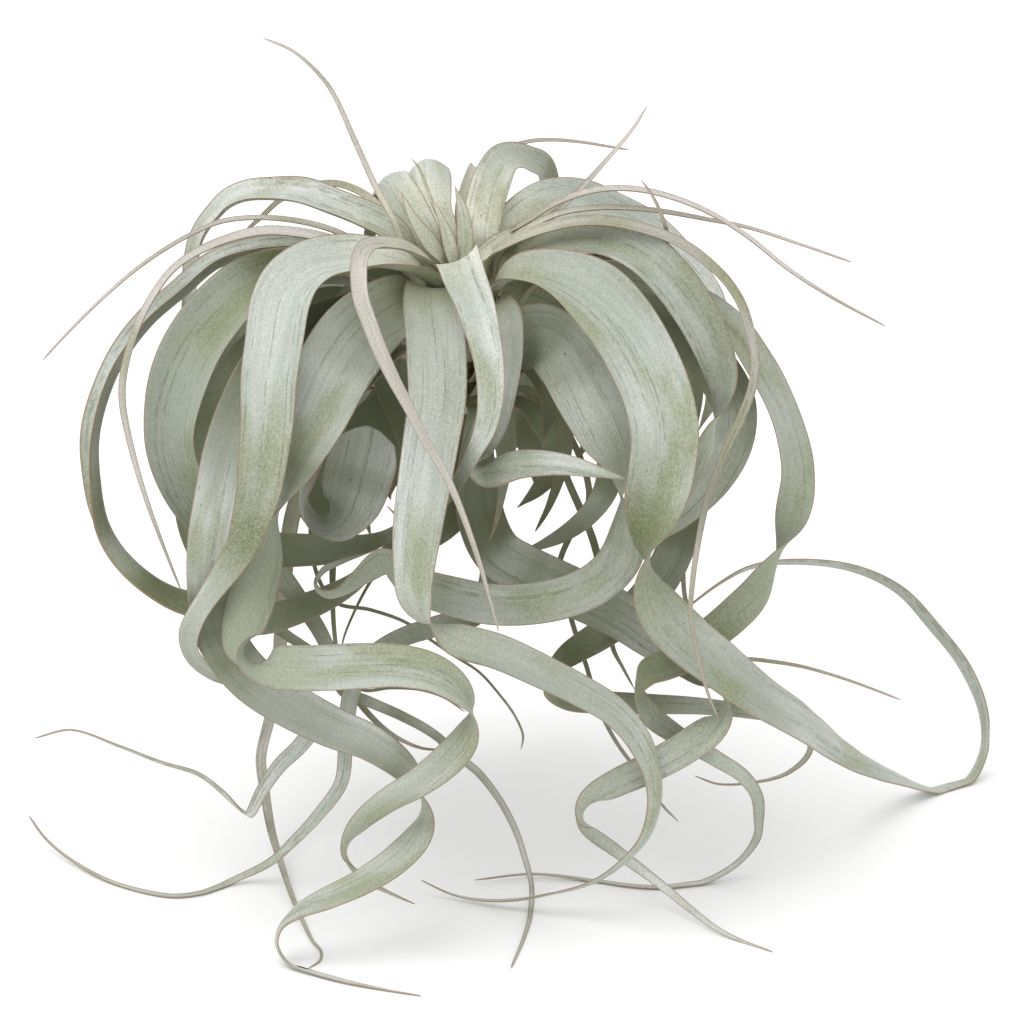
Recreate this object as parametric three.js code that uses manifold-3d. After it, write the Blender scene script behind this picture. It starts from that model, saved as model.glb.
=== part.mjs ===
// A large curly-leaved air plant, free standing: a short stem and long tapering channelled leaves.
// Units are millimetres, +Z is up. The origin is on the resting surface, under the middle of the box.
import * as THREE from 'three';
import { mergeVertices } from 'three/addons/utils/BufferGeometryUtils.js';
import Module from 'manifold-3d';

const wasm = await Module();
wasm.setup();

// ---- Driving dimensions --------------------------------------------------------------------------
const CROWN_HEIGHT = 315;        // from the resting surface to the crown, where the leaves part
const STEM_RADIUS = 13;
const STEM_TOP = -14;            // heights on the stem are measured from the crown
const STEM_BOTTOM = -84;
const ROOT_GAP = 0.35;           // between the stem and a leaf base
const ROOT_WIDTH = 6;            // width of every blade where it leaves the stem
const BASE_LENGTH = 45;          // a blade reaches its own width over this length
const BLADE_THICKNESS = 1.5;     // at the midrib near the base
const TIP_THICKNESS = 0.9;
const TRIM_BLOCK = 1200;         // side of the block that trims blades flat at the surface

// The routes are given as a viewer in front sees the plant: across to the right, up, and toward
// the viewer, all from the crown, in millimetres at the crown's distance.
const VIEW_TILT = THREE.MathUtils.degToRad(18);
const VIEW_DISTANCE = 1800;
const VIEW_CENTRE = { across: 28.5, up: -127 };
const ACROSS = new THREE.Vector3(1, 0, 0);
const UP = new THREE.Vector3(0, Math.sin(VIEW_TILT), Math.cos(VIEW_TILT));
const TOWARD = new THREE.Vector3(0, -Math.cos(VIEW_TILT), Math.sin(VIEW_TILT));
const FLOOR = 'floor';           // a depth that lays the midrib on the resting surface
const FLOOR_LIFT = 0.3;          // midrib height there, so that the underside is trimmed flat
const ROOT_LEAD = 3;             // every blade leaves the stem squarely over this length
const THREAD_LIMIT = 10;         // blades narrower than this are the mauve threads
const SAMPLES_PER_ROW = 12;
const RING_SPACING = 50;         // a blade gets a ring for each of these: length in mm,
const RING_BEND = 16;            // bend of the midrib in degrees,
const RING_TWIST = 22;           // and turn about it in degrees
const MIN_STEPS = 6;
const STEM_SIDES = 32;
const STEM_PROFILE = [           // share of the radius, and height from the crown
  [0, STEM_BOTTOM], [0.75, STEM_BOTTOM], [1, STEM_BOTTOM + 4], [1, STEM_TOP - 4],
  [0.7, STEM_TOP], [0, STEM_TOP],
];
// A drooping back blade: shares of its spread and of its drop, and widths from base to tip.
const BACK_PROFILE = [
  [0.33, 0.33], [0.6, 0.29], [0.84, 0.36], [0.96, 0.52], [1, 0.7], [0.94, 0.87], [0.82, 1],
];
const BACK_WIDTHS = [0.3, 0.65, 0.95, 1, 0.9, 0.6, 0.1];
const BACK_CUPS = [0.3, 0.15, 0.1, 0.1];
// ---- The leaves ----------------------------------------------------------------------------------
// root: height of the base on the stem. widths and cups: blade width, and channel depth as a share of
// it, at even steps from base to tip.
// route rows: [across, up, toward] and, where the blade is seen to turn, its roll about the midrib in
// degrees: 0 shows the upper face to the viewer, 90 and -90 an edge, 180 the underside.
const LEAVES = {
  left_thread_high: { root: -27, widths: [3.5, 4, 3.2, 2.2, 1.2], cups: [0.3, 0.3], route: [
    [-26, 0, 4], [-35, 4, 8], [-46, 7, 14, -50], [-62, 14, 18], [-77, 18, 20], [-97, 20, 20],
    [-117, 18, 20, -50], [-137, 9, 20], [-157, -4, 18], [-177, -21, 15], [-197, -41, 10],
    [-206, -51, 5, -50]] },
  left_thread_low: { root: -35, widths: [6, 7, 6.5, 5, 4.5, 3, 1.2], cups: [0.3, 0.3], route: [
    [-28, -6, 8], [-40, -1, 18], [-51, 4, 26, -50], [-60, 8, 30], [-77, 12, 33], [-97, 13, 34],
    [-122, 6, 33, -50], [-140, -5, 29], [-152, -21, 28], [-160, -38, 28], [-165, -56, 28],
    [-166, -71, 27, -40], [-162, -93, 24], [-154, -121, 20], [-143, -151, 14],
    [-137, -166, 10, -40]] },
  left_outer_arch: { root: -46, widths: [10, 14, 14, 14, 15, 16, 15, 5],
    cups: [0.4, 0.5, 0.5, 0.45, 0.2, 0.1], route: [
    [-36, -6, -6], [-62, 4, 1, -65], [-82, 6, -1], [-102, 4, -2, -65], [-120, -2, -2], [-137, -16, 0],
    [-155, -32, -3, -65], [-171, -55, -6], [-181, -86, -8, -68], [-181, -111, -10, -76],
    [-176, -135, -12, -95], [-162, -154, -14, -115], [-142, -168, -18, -135], [-120, -175, -22, -150],
    [-101, -181, -26, -160], [-77, -175, -30, -165], [-52, -163, -34], [-35, -147, -38],
    [-27, -138, -40, -170]] },
  left_inner_arch: { root: -52, widths: [8, 19, 33, 33, 26, 20, 16, 5], cups: [0.35, 0.3, 0.2, 0.1],
    route: [
    [-34, -15, 8], [-52, -9, 15, -70], [-70, -7, 23], [-86, -8, 31, -55], [-100, -13, 36],
    [-113, -24, 36, -35], [-125, -38, 36], [-134, -54, 34, -25], [-140, -72, 30],
    [-142, -91, 24, -20], [-138, -108, 18],
    [-129, -125, 10], [-115, -137, 2, -10], [-95, -145, -4], [-75, -146, -8, 0], [-55, -145, -12],
    [-36, -140, -16], [-22, -131, -20, 0]] },
  left_front_blade: { root: -33, widths: [10, 24, 29, 29, 27, 23, 17, 13, 11, 10, 8, 5, 3, 2, 1.2],
    cups: [0.3, 0.2, 0.1, 0.1, 0.15, 0.2], route: [
    [-9, -15, 20], [-17, -6, 26], [-30, -1, 33, -70], [-44, 1, 38], [-57, 0, 42, -50], [-70, -3, 47],
    [-81, -11, 55, -25], [-87, -23, 62], [-90, -41, 70, -10], [-93, -61, 76], [-94, -81, 78, 0],
    [-96, -101, 78], [-98, -116, 76, -10], [-102, -131, 73], [-107, -145, 70, -30], [-115, -158, 66],
    [-124, -171, 64, -45], [-130, -181, 61], [-133, -191, 54, -45], [-128, -202, 40],
    [-118, -208, 35, -45],
    [-107, -211, 28], [-92, -219, 20, -30], [-78, -225, 12], [-71, -233, 2, 0], [-77, -243, -5],
    [-88, -254, -9, 10], [-97, -267, -12], [-103, -278, -16, 40], [-107, -276, -22], [-116, -267, -28, 60],
    [-128, -258, -34], [-147, -252, -40], [-168, -244, -46], [-192, -236, -54], [-210, -240, -60, 60]] },
  left_under_blade: { root: -60, widths: [12, 27, 30, 30, 29, 27, 24, 23, 20, 17, 15, 12, 9, 5, 1.2],
    cups: [0.2, 0.1, 0.1, 0.1], route: [
    [-35, -30, 18], [-55, -34, 33, -20], [-75, -42, 44], [-92, -56, 50, -10], [-103, -76, 51],
    [-111, -98, 53, -10], [-116, -121, 57], [-120, -143, 56, -10], [-121, -166, 51], [-119, -185, 50, 0],
    [-111, -200, 49], [-100, -212, 50, 0], [-82, -224, 51], [-61, -235, 55, 10], [-42, -243, 58],
    [-26, -255, 58, 40], [-17, -267, 56, 80], [-15, -277, 55, 110], [-19, -289, 58, 150],
    [-30, -301, 62, 170], [-45, -311, 63], [-62, -319, 60, 160], [-78, -326, 57, 130],
    [-87, -334, 54, 100], [-89, -343, 52, 90], [-85, -351, 52, 86], [-77, -356, FLOOR, 78],
    [-55, -362, FLOOR, 72], [-35, -366, FLOOR], [-17, -369, FLOOR, 72]] },
  front_left_blade: { root: -46, widths: [8, 28, 38, 35, 28, 23, 22, 22, 19, 17, 12, 7, 1.2],
    cups: [0.15, 0.1, 0.05, 0.1], route: [
    [-20, -21, 25], [-37, -28, 37, 0], [-51, -41, 50], [-62, -58, 61, 0], [-71, -78, 65],
    [-80, -98, 65, -30], [-87, -116, 62, -65], [-91, -131, 58, -100], [-96, -151, 58, -150],
    [-102, -171, 61, -180], [-107, -191, 68, -215], [-102, -203, 77, -290], [-87, -205, 84, -345],
    [-67, -205, 90, -360], [-47, -204, 94], [-27, -204, 95, -360], [-10, -208, 93, -340],
    [3, -217, 89, -310],
    [9, -227, 86, -270], [5, -240, 83, -220], [-5, -252, 82, -190], [-18, -262, 81, -180],
    [-35, -272, 76, -180], [-48, -283, 67, -160], [-55, -296, 56, -110], [-51, -305, 47, -70],
    [-41, -313, 43, -50], [-27, -320, 42], [-20, -323, 42, -50]] },
  front_ribbon: { root: -18, widths: [7, 9.5, 9, 8, 7, 5, 3.5, 2.5, 1.2], cups: [0.3, 0.3], route: [
    [-8, -5, 22], [-12, -2, 32], [-20, 3, 40], [-27, 6, 46, -60], [-36, 7, 52], [-43, 6, 60, -35],
    [-47, 1, 68],
    [-48, -8, 76, -10], [-47, -20, 82], [-43, -32, 88], [-38, -45, 93, 0], [-31, -60, 99],
    [-23, -75, 105], [-15, -91, 110, 0], [-6, -106, 115], [1, -121, 119], [7, -137, 121],
    [13, -155, 120], [18, -173, 117], [22, -187, 113, 0]] },
  front_centre_blade: { root: -40, widths: [8, 26, 29, 27, 24, 18, 17, 15, 12, 9, 7, 5, 1.2],
    cups: [0.15, 0.1, 0.1, 0.1], route: [
    [-11, -14, 28], [-12, -23, 44, 0], [-10, -37, 58], [-9, -53, 71, 0], [-9, -71, 81],
    [-12, -91, 88, 0], [-15, -111, 92], [-18, -131, 93, -10], [-20, -151, 92], [-20, -168, 89, -30],
    [-15, -181, 86, -75], [-7, -187, 84, -120], [5, -192, 83, -165], [22, -197, 82, -180],
    [42, -206, 79], [62, -216, 74, -180], [80, -227, 67], [92, -241, 60, -165], [99, -258, 54, -140],
    [100, -273, 42], [95, -290, 30, -120], [82, -304, 19], [67, -313, 8, -100], [47, -318, -1],
    [30, -321, -8, -80], [12, -321, -17], [-2, -318, -22], [-17, -311, -24, -70]] },
  front_hook: { root: -26, widths: [10, 24, 22, 19, 15, 12, 9, 6, 1.2], cups: [0.2, 0.15, 0.15, 0.2],
    route: [
    [0, -12, 20], [1, -1, 35], [2, -1, 48, 0], [5, -10, 59], [10, -23, 71, 0], [14, -38, 80],
    [17, -53, 87, 0], [18, -68, 91], [16, -83, 90, -20], [10, -97, 85, -40], [4, -108, 78],
    [-3, -119, 70, -40], [-14, -128, 63], [-27, -130, 57, -60], [-34, -124, 54, -60]] },
  front_spear: { root: -49, widths: [10, 20, 20, 18, 17, 16, 14, 9, 1.2], cups: [0.3, 0.2, 0.2, 0.2],
    route: [
    [16, -23, 28], [20, -25, 40], [24, -31, 50, 0], [25, -46, 58], [22, -66, 62, 0], [18, -83, 62],
    [12, -96, 62, -30],
    [9, -105, 64, -90], [17, -107, 68, -150], [32, -103, 72, -170], [52, -103, 78, -180],
    [72, -107, 80], [90, -112, 80, -180]] },
  right_front_blade: { root: -42, widths: [8, 18, 34, 33, 29, 25, 20, 17, 14, 12, 10, 9, 7, 5, 3, 1.2],
    cups: [0.4, 0.15, 0.05, 0.1, 0.15], route: [
    [20, -14, 25], [28, -7, 36, 62], [40, -6, 48], [53, -9, 58, 35], [67, -17, 66], [81, -31, 73, 10],
    [92, -48, 79], [101, -68, 83, 0], [105, -88, 85], [103, -108, 85, 0], [99, -128, 82, -30],
    [95, -146, 79, -75], [97, -163, 76, -120], [105, -178, 74, -155], [117, -191, 72, -170],
    [132, -203, 67, -175], [150, -217, 48, -170], [172, -231, 10, -160], [197, -249, -55],
    [222, -260, -130, -120], [242, -266, FLOOR, -108], [256, -262, FLOOR], [264, -247, -176, -120],
    [264, -228, -172], [255, -205, -160, -140], [239, -184, -147], [222, -166, -127, -150],
    [198, -155, -107], [167, -152, -86, -150], [147, -155, -73], [132, -163, -62], [112, -178, -52, -150]] },
  right_under_blade: { root: -60, widths: [12, 26, 32, 34, 30, 24, 21, 20.5, 20, 17, 11, 7, 1.2],
    cups: [0.3, 0.1, 0.05, 0.1], route: [
    [22, -44, 23], [34, -40, 35, 0], [47, -40, 48], [59, -53, 57, 0], [68, -71, 61], [76, -88, 63, 20],
    [82, -103, 64, 50], [84, -118, 62, 85], [86, -133, 58, 130], [83, -149, 54, 165], [73, -161, 52, 180],
    [57, -169, 52], [37, -173, 52, 180], [17, -173, 52], [-2, -169, 51, 180], [-20, -163, 46],
    [-35, -152, 38, 200], [-46, -159, 30], [-57, -167, 24, 240], [-66, -168, 18], [-70, -163, 14, 270],
    [-66, -156, 10], [-55, -151, 6, 330], [-42, -147, 4, 350]] },
  right_shoulder_blade: { root: -37, widths: [10, 14, 20, 22, 22, 20, 14, 8, 1.5],
    cups: [0.4, 0.2, 0.1, 0.1, 0.15], route: [
    [23, -6, 10], [33, 3, 19, 60], [46, 9, 27], [62, 11, 34, 40], [80, 9, 40], [95, 2, 44, 15],
    [106, -8, 47], [117, -22, 48, 0], [126, -38, 48], [133, -57, 46, -20], [133, -73, 43, -60],
    [129, -83, 41, -100], [124, -98, 38, -150], [117, -113, 36, -180], [110, -128, 34],
    [102, -143, 32, -180]] },
  right_long_thread: { root: -17, widths: [4.5, 4.5, 4, 3.2, 2.4, 1.2], cups: [0.3, 0.3], route: [
    [16, 5, 0], [23, 11, 8], [37, 19, 18, 50], [52, 28, 25], [72, 34, 31], [92, 34, 36, 50],
    [112, 29, 40], [130, 21, 43], [147, 10, 43], [167, -6, 41], [187, -19, 38], [215, -34, 32, 50]] },
  right_short_thread: { root: -22, widths: [4, 4, 3.6, 3, 2, 1.2], cups: [0.3, 0.3], route: [
    [21, 2, 4], [27, 9, 12], [35, 14, 19, 50], [52, 22, 26], [72, 25, 30], [97, 24, 33, 50],
    [127, 19, 35], [147, 15, 35], [172, 7, 34], [198, -2, 32, 50]] },
  right_tail_ribbon: { root: -31, widths: [5, 7.5, 7, 6, 5, 4.5, 4, 3, 2.2, 1.2], cups: [0.3, 0.3],
    route: [
    [17, 0, 15], [25, 6, 20], [35, 11, 27, 50], [47, 15, 33], [62, 18, 38], [77, 18, 42, 40],
    [92, 15, 44], [107, 10, 46], [118, 4, 50, 30], [127, -3, 54], [136, -12, 58], [143, -23, 61, 20],
    [147, -35, 63], [150, -48, 64], [149, -63, 65, 0], [144, -78, 67], [138, -91, 70], [132, -105, 74],
    [126, -122, 79], [122, -141, 83, -20], [119, -161, 85], [118, -178, 86], [121, -196, 86],
    [126, -216, 85], [132, -231, 82, -20]] },
  right_outer_arch: { root: -56, widths: [8, 14, 16, 17, 18, 18, 18, 17, 14, 9, 7, 6, 5, 3, 1.2],
    cups: [0.3, 0.15, 0.1, 0.1, 0.15], route: [
    [42, -10, 12], [67, -8, 16], [92, -11, 20, 40], [117, -20, 23], [139, -35, 24, 35], [151, -52, 22],
    [160, -68, 18, 35], [167, -86, 14], [171, -106, 10, 25], [169, -128, 8, -20], [161, -149, 8, -95],
    [151, -167, 14, -150], [139, -179, 24, -175], [127, -189, 35, -180], [117, -198, 44],
    [106, -203, 48, -190], [96, -207, 47, -210], [91, -216, 42, -270], [97, -228, 34, -330],
    [110, -238, 26, -355], [130, -250, 12, -360], [144, -259, -2, -375], [151, -269, -14],
    [152, -281, -26, -400], [151, -290, -34], [141, -303, -43, -420], [122, -313, FLOOR],
    [102, -315, FLOOR, -430], [86, -314, FLOOR], [72, -312, FLOOR, -430], [52, -309, -47],
    [37, -308, -48], [10, -311, -40, -430]] },
  left_shoulder_blade: { root: -20, widths: [10, 16, 20, 20, 18, 14, 10, 6, 1.5],
    cups: [0.35, 0.3, 0.3, 0.3], route: [
    [-20, 0, 0], [-25, 6, 3], [-32, 13, 3, -45], [-45, 20, 0], [-60, 26, -4, -50], [-77, 32, -8],
    [-92, 33, -12, -55], [-105, 32, -15], [-114, 28, -18, -60], [-120, 22, -20], [-125, 16, -22, -60],
    [-129, 8, -24], [-131, -2, -26], [-132, -15, -28, -40], [-133, -30, -30], [-132, -45, -32],
    [-130, -68, -32, -30]] },
  left_shoulder_thread: { root: -32, widths: [5, 5.5, 5, 4.5, 3.5, 1.2], cups: [0.3, 0.3], route: [
    [-22, -4, -8], [-27, 9, -12], [-35, 22, -17, -40], [-42, 29, -21], [-50, 34, -25], [-60, 37, -29, -50],
    [-71, 36, -31], [-87, 29, -37], [-96, 21, -41, -50], [-105, 12, -45], [-110, -1, -47, -50]] },
  back_left_blade: { root: -38, widths: [7, 10, 15, 18, 18, 16, 10, 2], cups: [0.3, 0.1, -0.2, -0.1, 0.1],
    route: [
    [-14, 9, -10, 0], [-22, 24, -17], [-28, 34, -26, 0], [-32, 39, -37], [-36, 37, -50],
    [-40, 26, -64], [-43, 9, -74], [-45, -16, -82]] },
  back_middle_blade: { root: -24, widths: [8, 11, 18, 22, 22, 20, 13, 2],
    cups: [0.3, 0.1, -0.3, -0.1, 0.1], route: [
    [-5, 12, -15, 0], [-10, 23, -20], [-12, 34, -28, 0], [-13, 43, -38], [-14, 46, -52],
    [-13, 42, -68], [-12, 26, -84], [-12, 4, -95], [-12, -14, -100]] },
  back_left_spike: { root: -18, widths: [4, 3.5, 3, 2.2, 1.2], cups: [0.3, 0.3], route: [
    [-15, -2, 9], [-25, 6, 12], [-31, 19, 13, -20], [-40, 36, 11], [-49, 56, 9], [-62, 84, 6],
    [-72, 96, 4], [-82, 104, 2], [-96, 110, 0, -20]] },
  back_middle_spike: { root: -16, widths: [3, 2.5, 2, 1.2], cups: [0.3, 0.3], route: [
    [0, 5, -13], [-5, 15, -1, 0], [-11, 27, 3], [-14, 35, -2], [-18, 45, -6], [-22, 50, -9, 0]] },
  back_right_arch: { root: -32, widths: [8, 13, 19, 20, 17, 14, 12, 8, 2], cups: [0.3, 0.2, 0.15, 0.1],
    route: [
    [13, 11, -13, 5], [15, 26, -18], [19, 40, -27, 5], [24, 49, -38], [31, 51, -48],
    [38, 49, -57, 25], [43, 47, -64], [46, 42, -72, 35], [48, 31, -80], [49, 14, -85, 20],
    [49, -4, -88]] },
  back_right_narrow: { root: -44, widths: [5, 7, 7, 6, 5, 4, 1.5], cups: [0.3, 0.3], route: [
    [3, 13, -23, 0], [3, 26, -27], [5, 34, -32, 0], [8, 43, -40], [10, 46, -48],
    [11, 43, -54], [12, 33, -64], [12, 18, -70]] },
  back_thread: { root: -46, widths: [4, 3.5, 3, 2.2, 1.2], cups: [0.3, 0.3], route: [
    [12, -2, -24], [19, 11, -30], [22, 29, -40], [24, 45, -52], [28, 55, -58, 30], [36, 58, -61],
    [47, 59, -64], [62, 58, -67], [75, 56, -69], [87, 54, -71, 30]] },
  back_right_blade: { root: -40, widths: [10, 20, 28, 30, 28, 24, 20, 14, 2], cups: [0.3, 0.15, 0.1, 0.1],
    route: [
    [27, 8, -14, 25], [37, 20, -23], [50, 27, -32, 35], [65, 26, -38], [80, 20, -45, 35],
    [95, 12, -49], [106, 3, -50, 30], [117, -9, -49], [125, -21, -46], [130, -41, -42, 20],
    [130, -66, -37], [122, -86, -33, 10]] },
  back_right_spike: { root: -30, widths: [4, 4.5, 4, 3, 2, 1.2], cups: [0.3, 0.3], route: [
    [22, -4, -2], [32, 9, 4], [45, 18, 8, 20], [57, 29, 8], [67, 39, 6], [75, 48, 3], [82, 56, 0],
    [90, 66, -4], [96, 76, -8, 20]] },
  right_spike: { root: -50, widths: [4, 5, 4.5, 3.5, 2.5, 1.2], cups: [0.3, 0.3], route: [
    [30, -4, 10], [62, 0, 24], [85, 0, 28], [98, 0, 33, 30], [105, 5, 37], [106, 12, 41, 20],
    [104, 20, 44], [101, 27, 46], [97, 34, 47], [93, 39, 47, 20]] },
  right_inner_blade: { root: -58, widths: [10, 20, 25, 26, 24, 20, 12, 2], cups: [0.2, 0.1, 0.1, 0.1],
    route: [
    [45, -22, -6], [72, -22, 8, 40], [95, -28, 11], [115, -40, 12, 30], [130, -56, 11], [139, -73, 8, 20],
    [139, -91, 6], [130, -110, 6, 15], [117, -125, 8], [105, -135, 11, 10], [92, -145, 13],
    [80, -155, 14, 0]] },
  right_low_blade: { root: -74, widths: [8, 16, 18, 19, 19, 16, 13, 11, 8, 5, 3, 1.2],
    cups: [0.2, 0.1, 0.1, 0.1], route: [
    [45, -48, -12], [72, -56, -14, 20], [97, -71, -12], [110, -96, -11, 10], [115, -121, -9],
    [111, -143, -6, 0], [101, -163, -4], [87, -178, -3, 0], [72, -189, -3], [58, -198, -4, -30],
    [48, -206, -7, -70], [46, -214, -12, -110], [55, -220, -17, -150], [72, -222, -20, -180],
    [97, -223, -22], [122, -224, -26, -180], [147, -227, -32], [167, -232, -42, -200], [177, -240, -54],
    [176, -249, -64, -220], [165, -258, -70], [150, -262, -72, -240], [132, -263, -70],
    [120, -259, -66, -240]] },
  front_inner_loop: { root: -70, widths: [8, 11, 14, 18, 21, 22, 23, 24, 25, 27, 34, 35, 25],
    cups: [0.3, 0.2, 0.15, 0.1, 0.1], route: [
    [-18, -46, 20], [-33, -49, 30, 100], [-45, -61, 36], [-56, -75, 38, 100], [-66, -92, 34],
    [-73, -107, 29, 100], [-76, -119, 26, 90], [-74, -129, 24], [-67, -135, 24, 68], [-58, -132, 26, 45],
    [-52, -121, 30, 22], [-48, -107, 32, 6], [-45, -95, 32, 0], [-43, -84, 34, 0]] },
  low_left_ribbon: { root: -75, widths: [6, 12, 13, 13, 12, 8, 6, 5, 4, 3, 2.2, 1.2],
    cups: [0.2, 0.1, 0.2, 0.3], route: [
    [-40, -42, -12], [-75, -75, -30, -30], [-93, -110, -45], [-97, -140, -52, -20], [-88, -157, -55],
    [-78, -171, -55, 0], [-68, -186, -52], [-61, -201, -46], [-56, -216, -38, 0], [-43, -222, -30],
    [-27, -229, -24, 20], [-11, -238, -18], [5, -252, -14], [12, -258, -14, 30], [22, -271, -16],
    [30, -286, -20], [35, -301, -24, 30], [38, -313, -26], [38, -323, FLOOR], [37, -331, FLOOR],
    [34, -341, FLOOR, 20], [28, -355, FLOOR, 20]] },
  low_left_dark: { root: -80, widths: [5, 9, 10, 10, 9, 6, 4.5, 3, 1.2], cups: [0.2, 0.15, 0.2], route: [
    [-42, -56, -28], [-80, -100, -62, -20], [-100, -150, -74], [-98, -178, -74, 0], [-85, -188, -70],
    [-70, -198, -62, 0], [-55, -211, -52], [-45, -226, -44, 10], [-32, -238, -38], [-17, -245, -34],
    [-5, -246, -32, 10]] },
  low_left_tail: { root: -64, widths: [6, 12, 12.5, 12, 10, 9, 7, 5, 4, 3, 2, 1.2],
    cups: [0.2, 0.1, 0.2, 0.3], route: [
    [10, -60, -48], [12, -95, -60, 0], [15, -130, -63], [18, -160, -58, 0], [10, -178, -50],
    [-9, -184, -44, 0], [-27, -190, -38], [-40, -198, -32], [-50, -212, -26, 10], [-54, -228, -20],
    [-55, -245, -17, 20], [-57, -262, -17], [-68, -278, -23, 0], [-80, -291, -31], [-92, -302, -38, -30],
    [-110, -311, -42], [-127, -318, FLOOR, -60], [-140, -319.5, FLOOR], [-152, -318, FLOOR, -60],
    [-172, -312, -43], [-192, -301, -64, -60], [-205, -290, -82], [-213, -279, -98, -60]] },
  low_thin_tail: { root: -70, widths: [5, 6, 6, 6, 4, 2.5, 2, 1.5, 1.2], cups: [0.2, 0.2], route: [
    [-34, -62, -50], [-56, -105, -80, 0], [-61, -151, -88], [-60, -190, -86, 0], [-56, -208, -80],
    [-46, -216, -73, 0], [-32, -215, -67], [-17, -216, -63], [-5, -220, -61], [5, -227, -59, 0]] },
  left_foot_tail: { root: -64, widths: [4, 8, 9, 9, 8, 6, 5, 3, 2, 1.2], cups: [0.2, 0.2], route: [
    [-36, -50, -44], [-62, -85, -88, -20], [-80, -125, -108], [-85, -160, -112, -20], [-87, -190, -108],
    [-89, -215, -100, -20], [-93, -232, -92], [-97, -250, -84, 0], [-95, -268, -76], [-92, -286, -66],
    [-87, -303, -50, 20], [-82, -318, -26], [-76, -332, 5], [-71, -342, FLOOR, 20], [-67, -347, FLOOR],
    [-68, -352, FLOOR], [-73, -355, FLOOR, 20]] },
  right_front_tail: { root: -76, widths: [8, 16, 24, 25, 24, 20, 17, 16, 13, 8, 5, 3, 1.2],
    cups: [0.2, 0.1, 0.1, 0.15], route: [
    [10, -74, 8], [11, -92, 2, 0], [11, -112, 0], [14, -133, 7, 0], [22, -148, 14], [35, -156, 19, 0],
    [52, -164, 22], [70, -172, 23, 0], [85, -180, 23], [95, -187, 23, 0], [107, -195, 24],
    [120, -203, 27, 10], [131, -212, 31, 40], [136, -223, 37, 90], [129, -234, 42, 150],
    [115, -245, 43, 180],
    [97, -255, 40], [80, -263, 36, 190], [68, -270, 29, 220], [63, -279, 18, 270], [67, -286, 8, 320],
    [80, -296, -5, 350], [92, -305, -8], [105, -315, -6, 360], [117, -325, 3], [132, -336, 17, 360],
    [147, -343, FLOOR], [159, -347, FLOOR, 360]] },
  inner_vertical: { root: -67, widths: [6, 11, 12, 12, 11, 6, 3, 1.2], cups: [0.2, 0.15], route: [
    [20, -54, 12], [23, -70, 20, 10], [25, -90, 20], [25, -106, 19, 0], [23, -121, 17], [20, -134, 15, 0],
    [17, -142, 15, 0]] },
  inner_dark_band: { root: -74, widths: [8, 16, 24, 24, 20, 12, 2], cups: [0.15, 0.1], route: [
    [8, -72, -44], [8, -90, -46, 0], [6, -108, -44], [0, -123, -42, 0], [-10, -136, -38],
    [-22, -145, -34], [-34, -150, -34, 0]] },
  inner_right_dark: { root: -80, widths: [8, 13, 15, 15, 13, 8, 2], cups: [0.15, 0.1], route: [
    [30, -72, -28], [42, -80, -35, 20], [50, -91, -41], [50, -103, -44, 10], [42, -115, -44],
    [31, -125, -44, 0]] },
  inner_right_olive: { root: -70, widths: [5, 8, 9, 9, 8, 5, 2], cups: [0.2, 0.2], route: [
    [34, -44, 4], [48, -64, -6, 10], [55, -85, -14], [53, -106, -18, 0], [47, -124, -22],
    [40, -137, -20, 0]] },
  right_inner_ribbon: { root: -64, widths: [8, 14, 16, 16, 15, 12, 8, 2], cups: [0.15, 0.1], route: [
    [34, -36, 12], [58, -48, 20, 20], [74, -70, 26], [78, -95, 26, 0], [76, -114, 23], [68, -127, 17, 0],
    [56, -137, 9], [42, -144, 2, 0], [30, -148, -4, 0]] },
  thin_right_strut: { root: -66, widths: [3, 3.5, 3.5, 4, 4, 3, 1.2], cups: [0.2, 0.2], route: [
    [34, -66, -44], [50, -90, -56, 0], [56, -110, -58], [62, -124, -58], [68, -138, -57, 0],
    [72, -152, -54], [76, -172, -50], [79, -195, -46, 0], [84, -205, -44], [90, -216, -42, 0]] },
  right_thin_tail: { root: -74, widths: [3, 3.5, 3.5, 3, 2.5, 2, 1.2], cups: [0.2, 0.2], route: [
    [38, -66, -56], [60, -94, -74, 0], [67, -121, -78], [58, -138, -78], [52, -155, -76, 0],
    [58, -180, -70], [66, -205, -62], [72, -225, -54], [80, -241, -47, 0], [90, -255, -41],
    [104, -274, -35], [112, -282, -32, 0]] },
  right_side_thread: { root: -62, widths: [3, 3, 2.6, 2.2, 1.2], cups: [0.2, 0.2], route: [
    [50, -36, -24], [90, -80, -40, 20], [112, -130, -46], [115, -170, -44, 20], [122, -192, -42],
    [132, -199, -42], [152, -201, -44], [172, -204, -46], [187, -208, -48], [202, -213, -50],
    [223, -221, -52, 20]] },
  curl_thread: { root: -76, widths: [2.5, 2.5, 2.5, 2.2, 1.8, 1.4, 1.2], cups: [0.2, 0.2], route: [
    [-44, -66, -44], [-70, -115, -76], [-70, -155, -84, 0], [-60, -172, -78], [-42, -176, -70],
    [-25, -182, -62, 0], [-12, -191, -54], [-2, -198, -46], [12, -207, -36], [22, -218, -28, 0],
    [30, -229, -22], [34, -239, -18], [33, -246, -16, 0]] },
  short_inner_thread: { root: -80, widths: [2.5, 2.5, 2.2, 1.8, 1.2], cups: [0.2, 0.2], route: [
    [-4, -80, -60], [-20, -130, -90, 0], [-34, -152, -98], [-41, -160, -99, 0], [-48, -172, -98],
    [-55, -188, -97], [-57, -196, -97, 0]] },
  left_inner_leaf: { root: -68, widths: [8, 14, 18, 18, 16, 10, 2], cups: [0.15, 0.1], route: [
    [-55, -22, -6], [-92, -38, -14, -20], [-118, -68, -22], [-130, -100, -26, -10], [-136, -125, -27],
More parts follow.
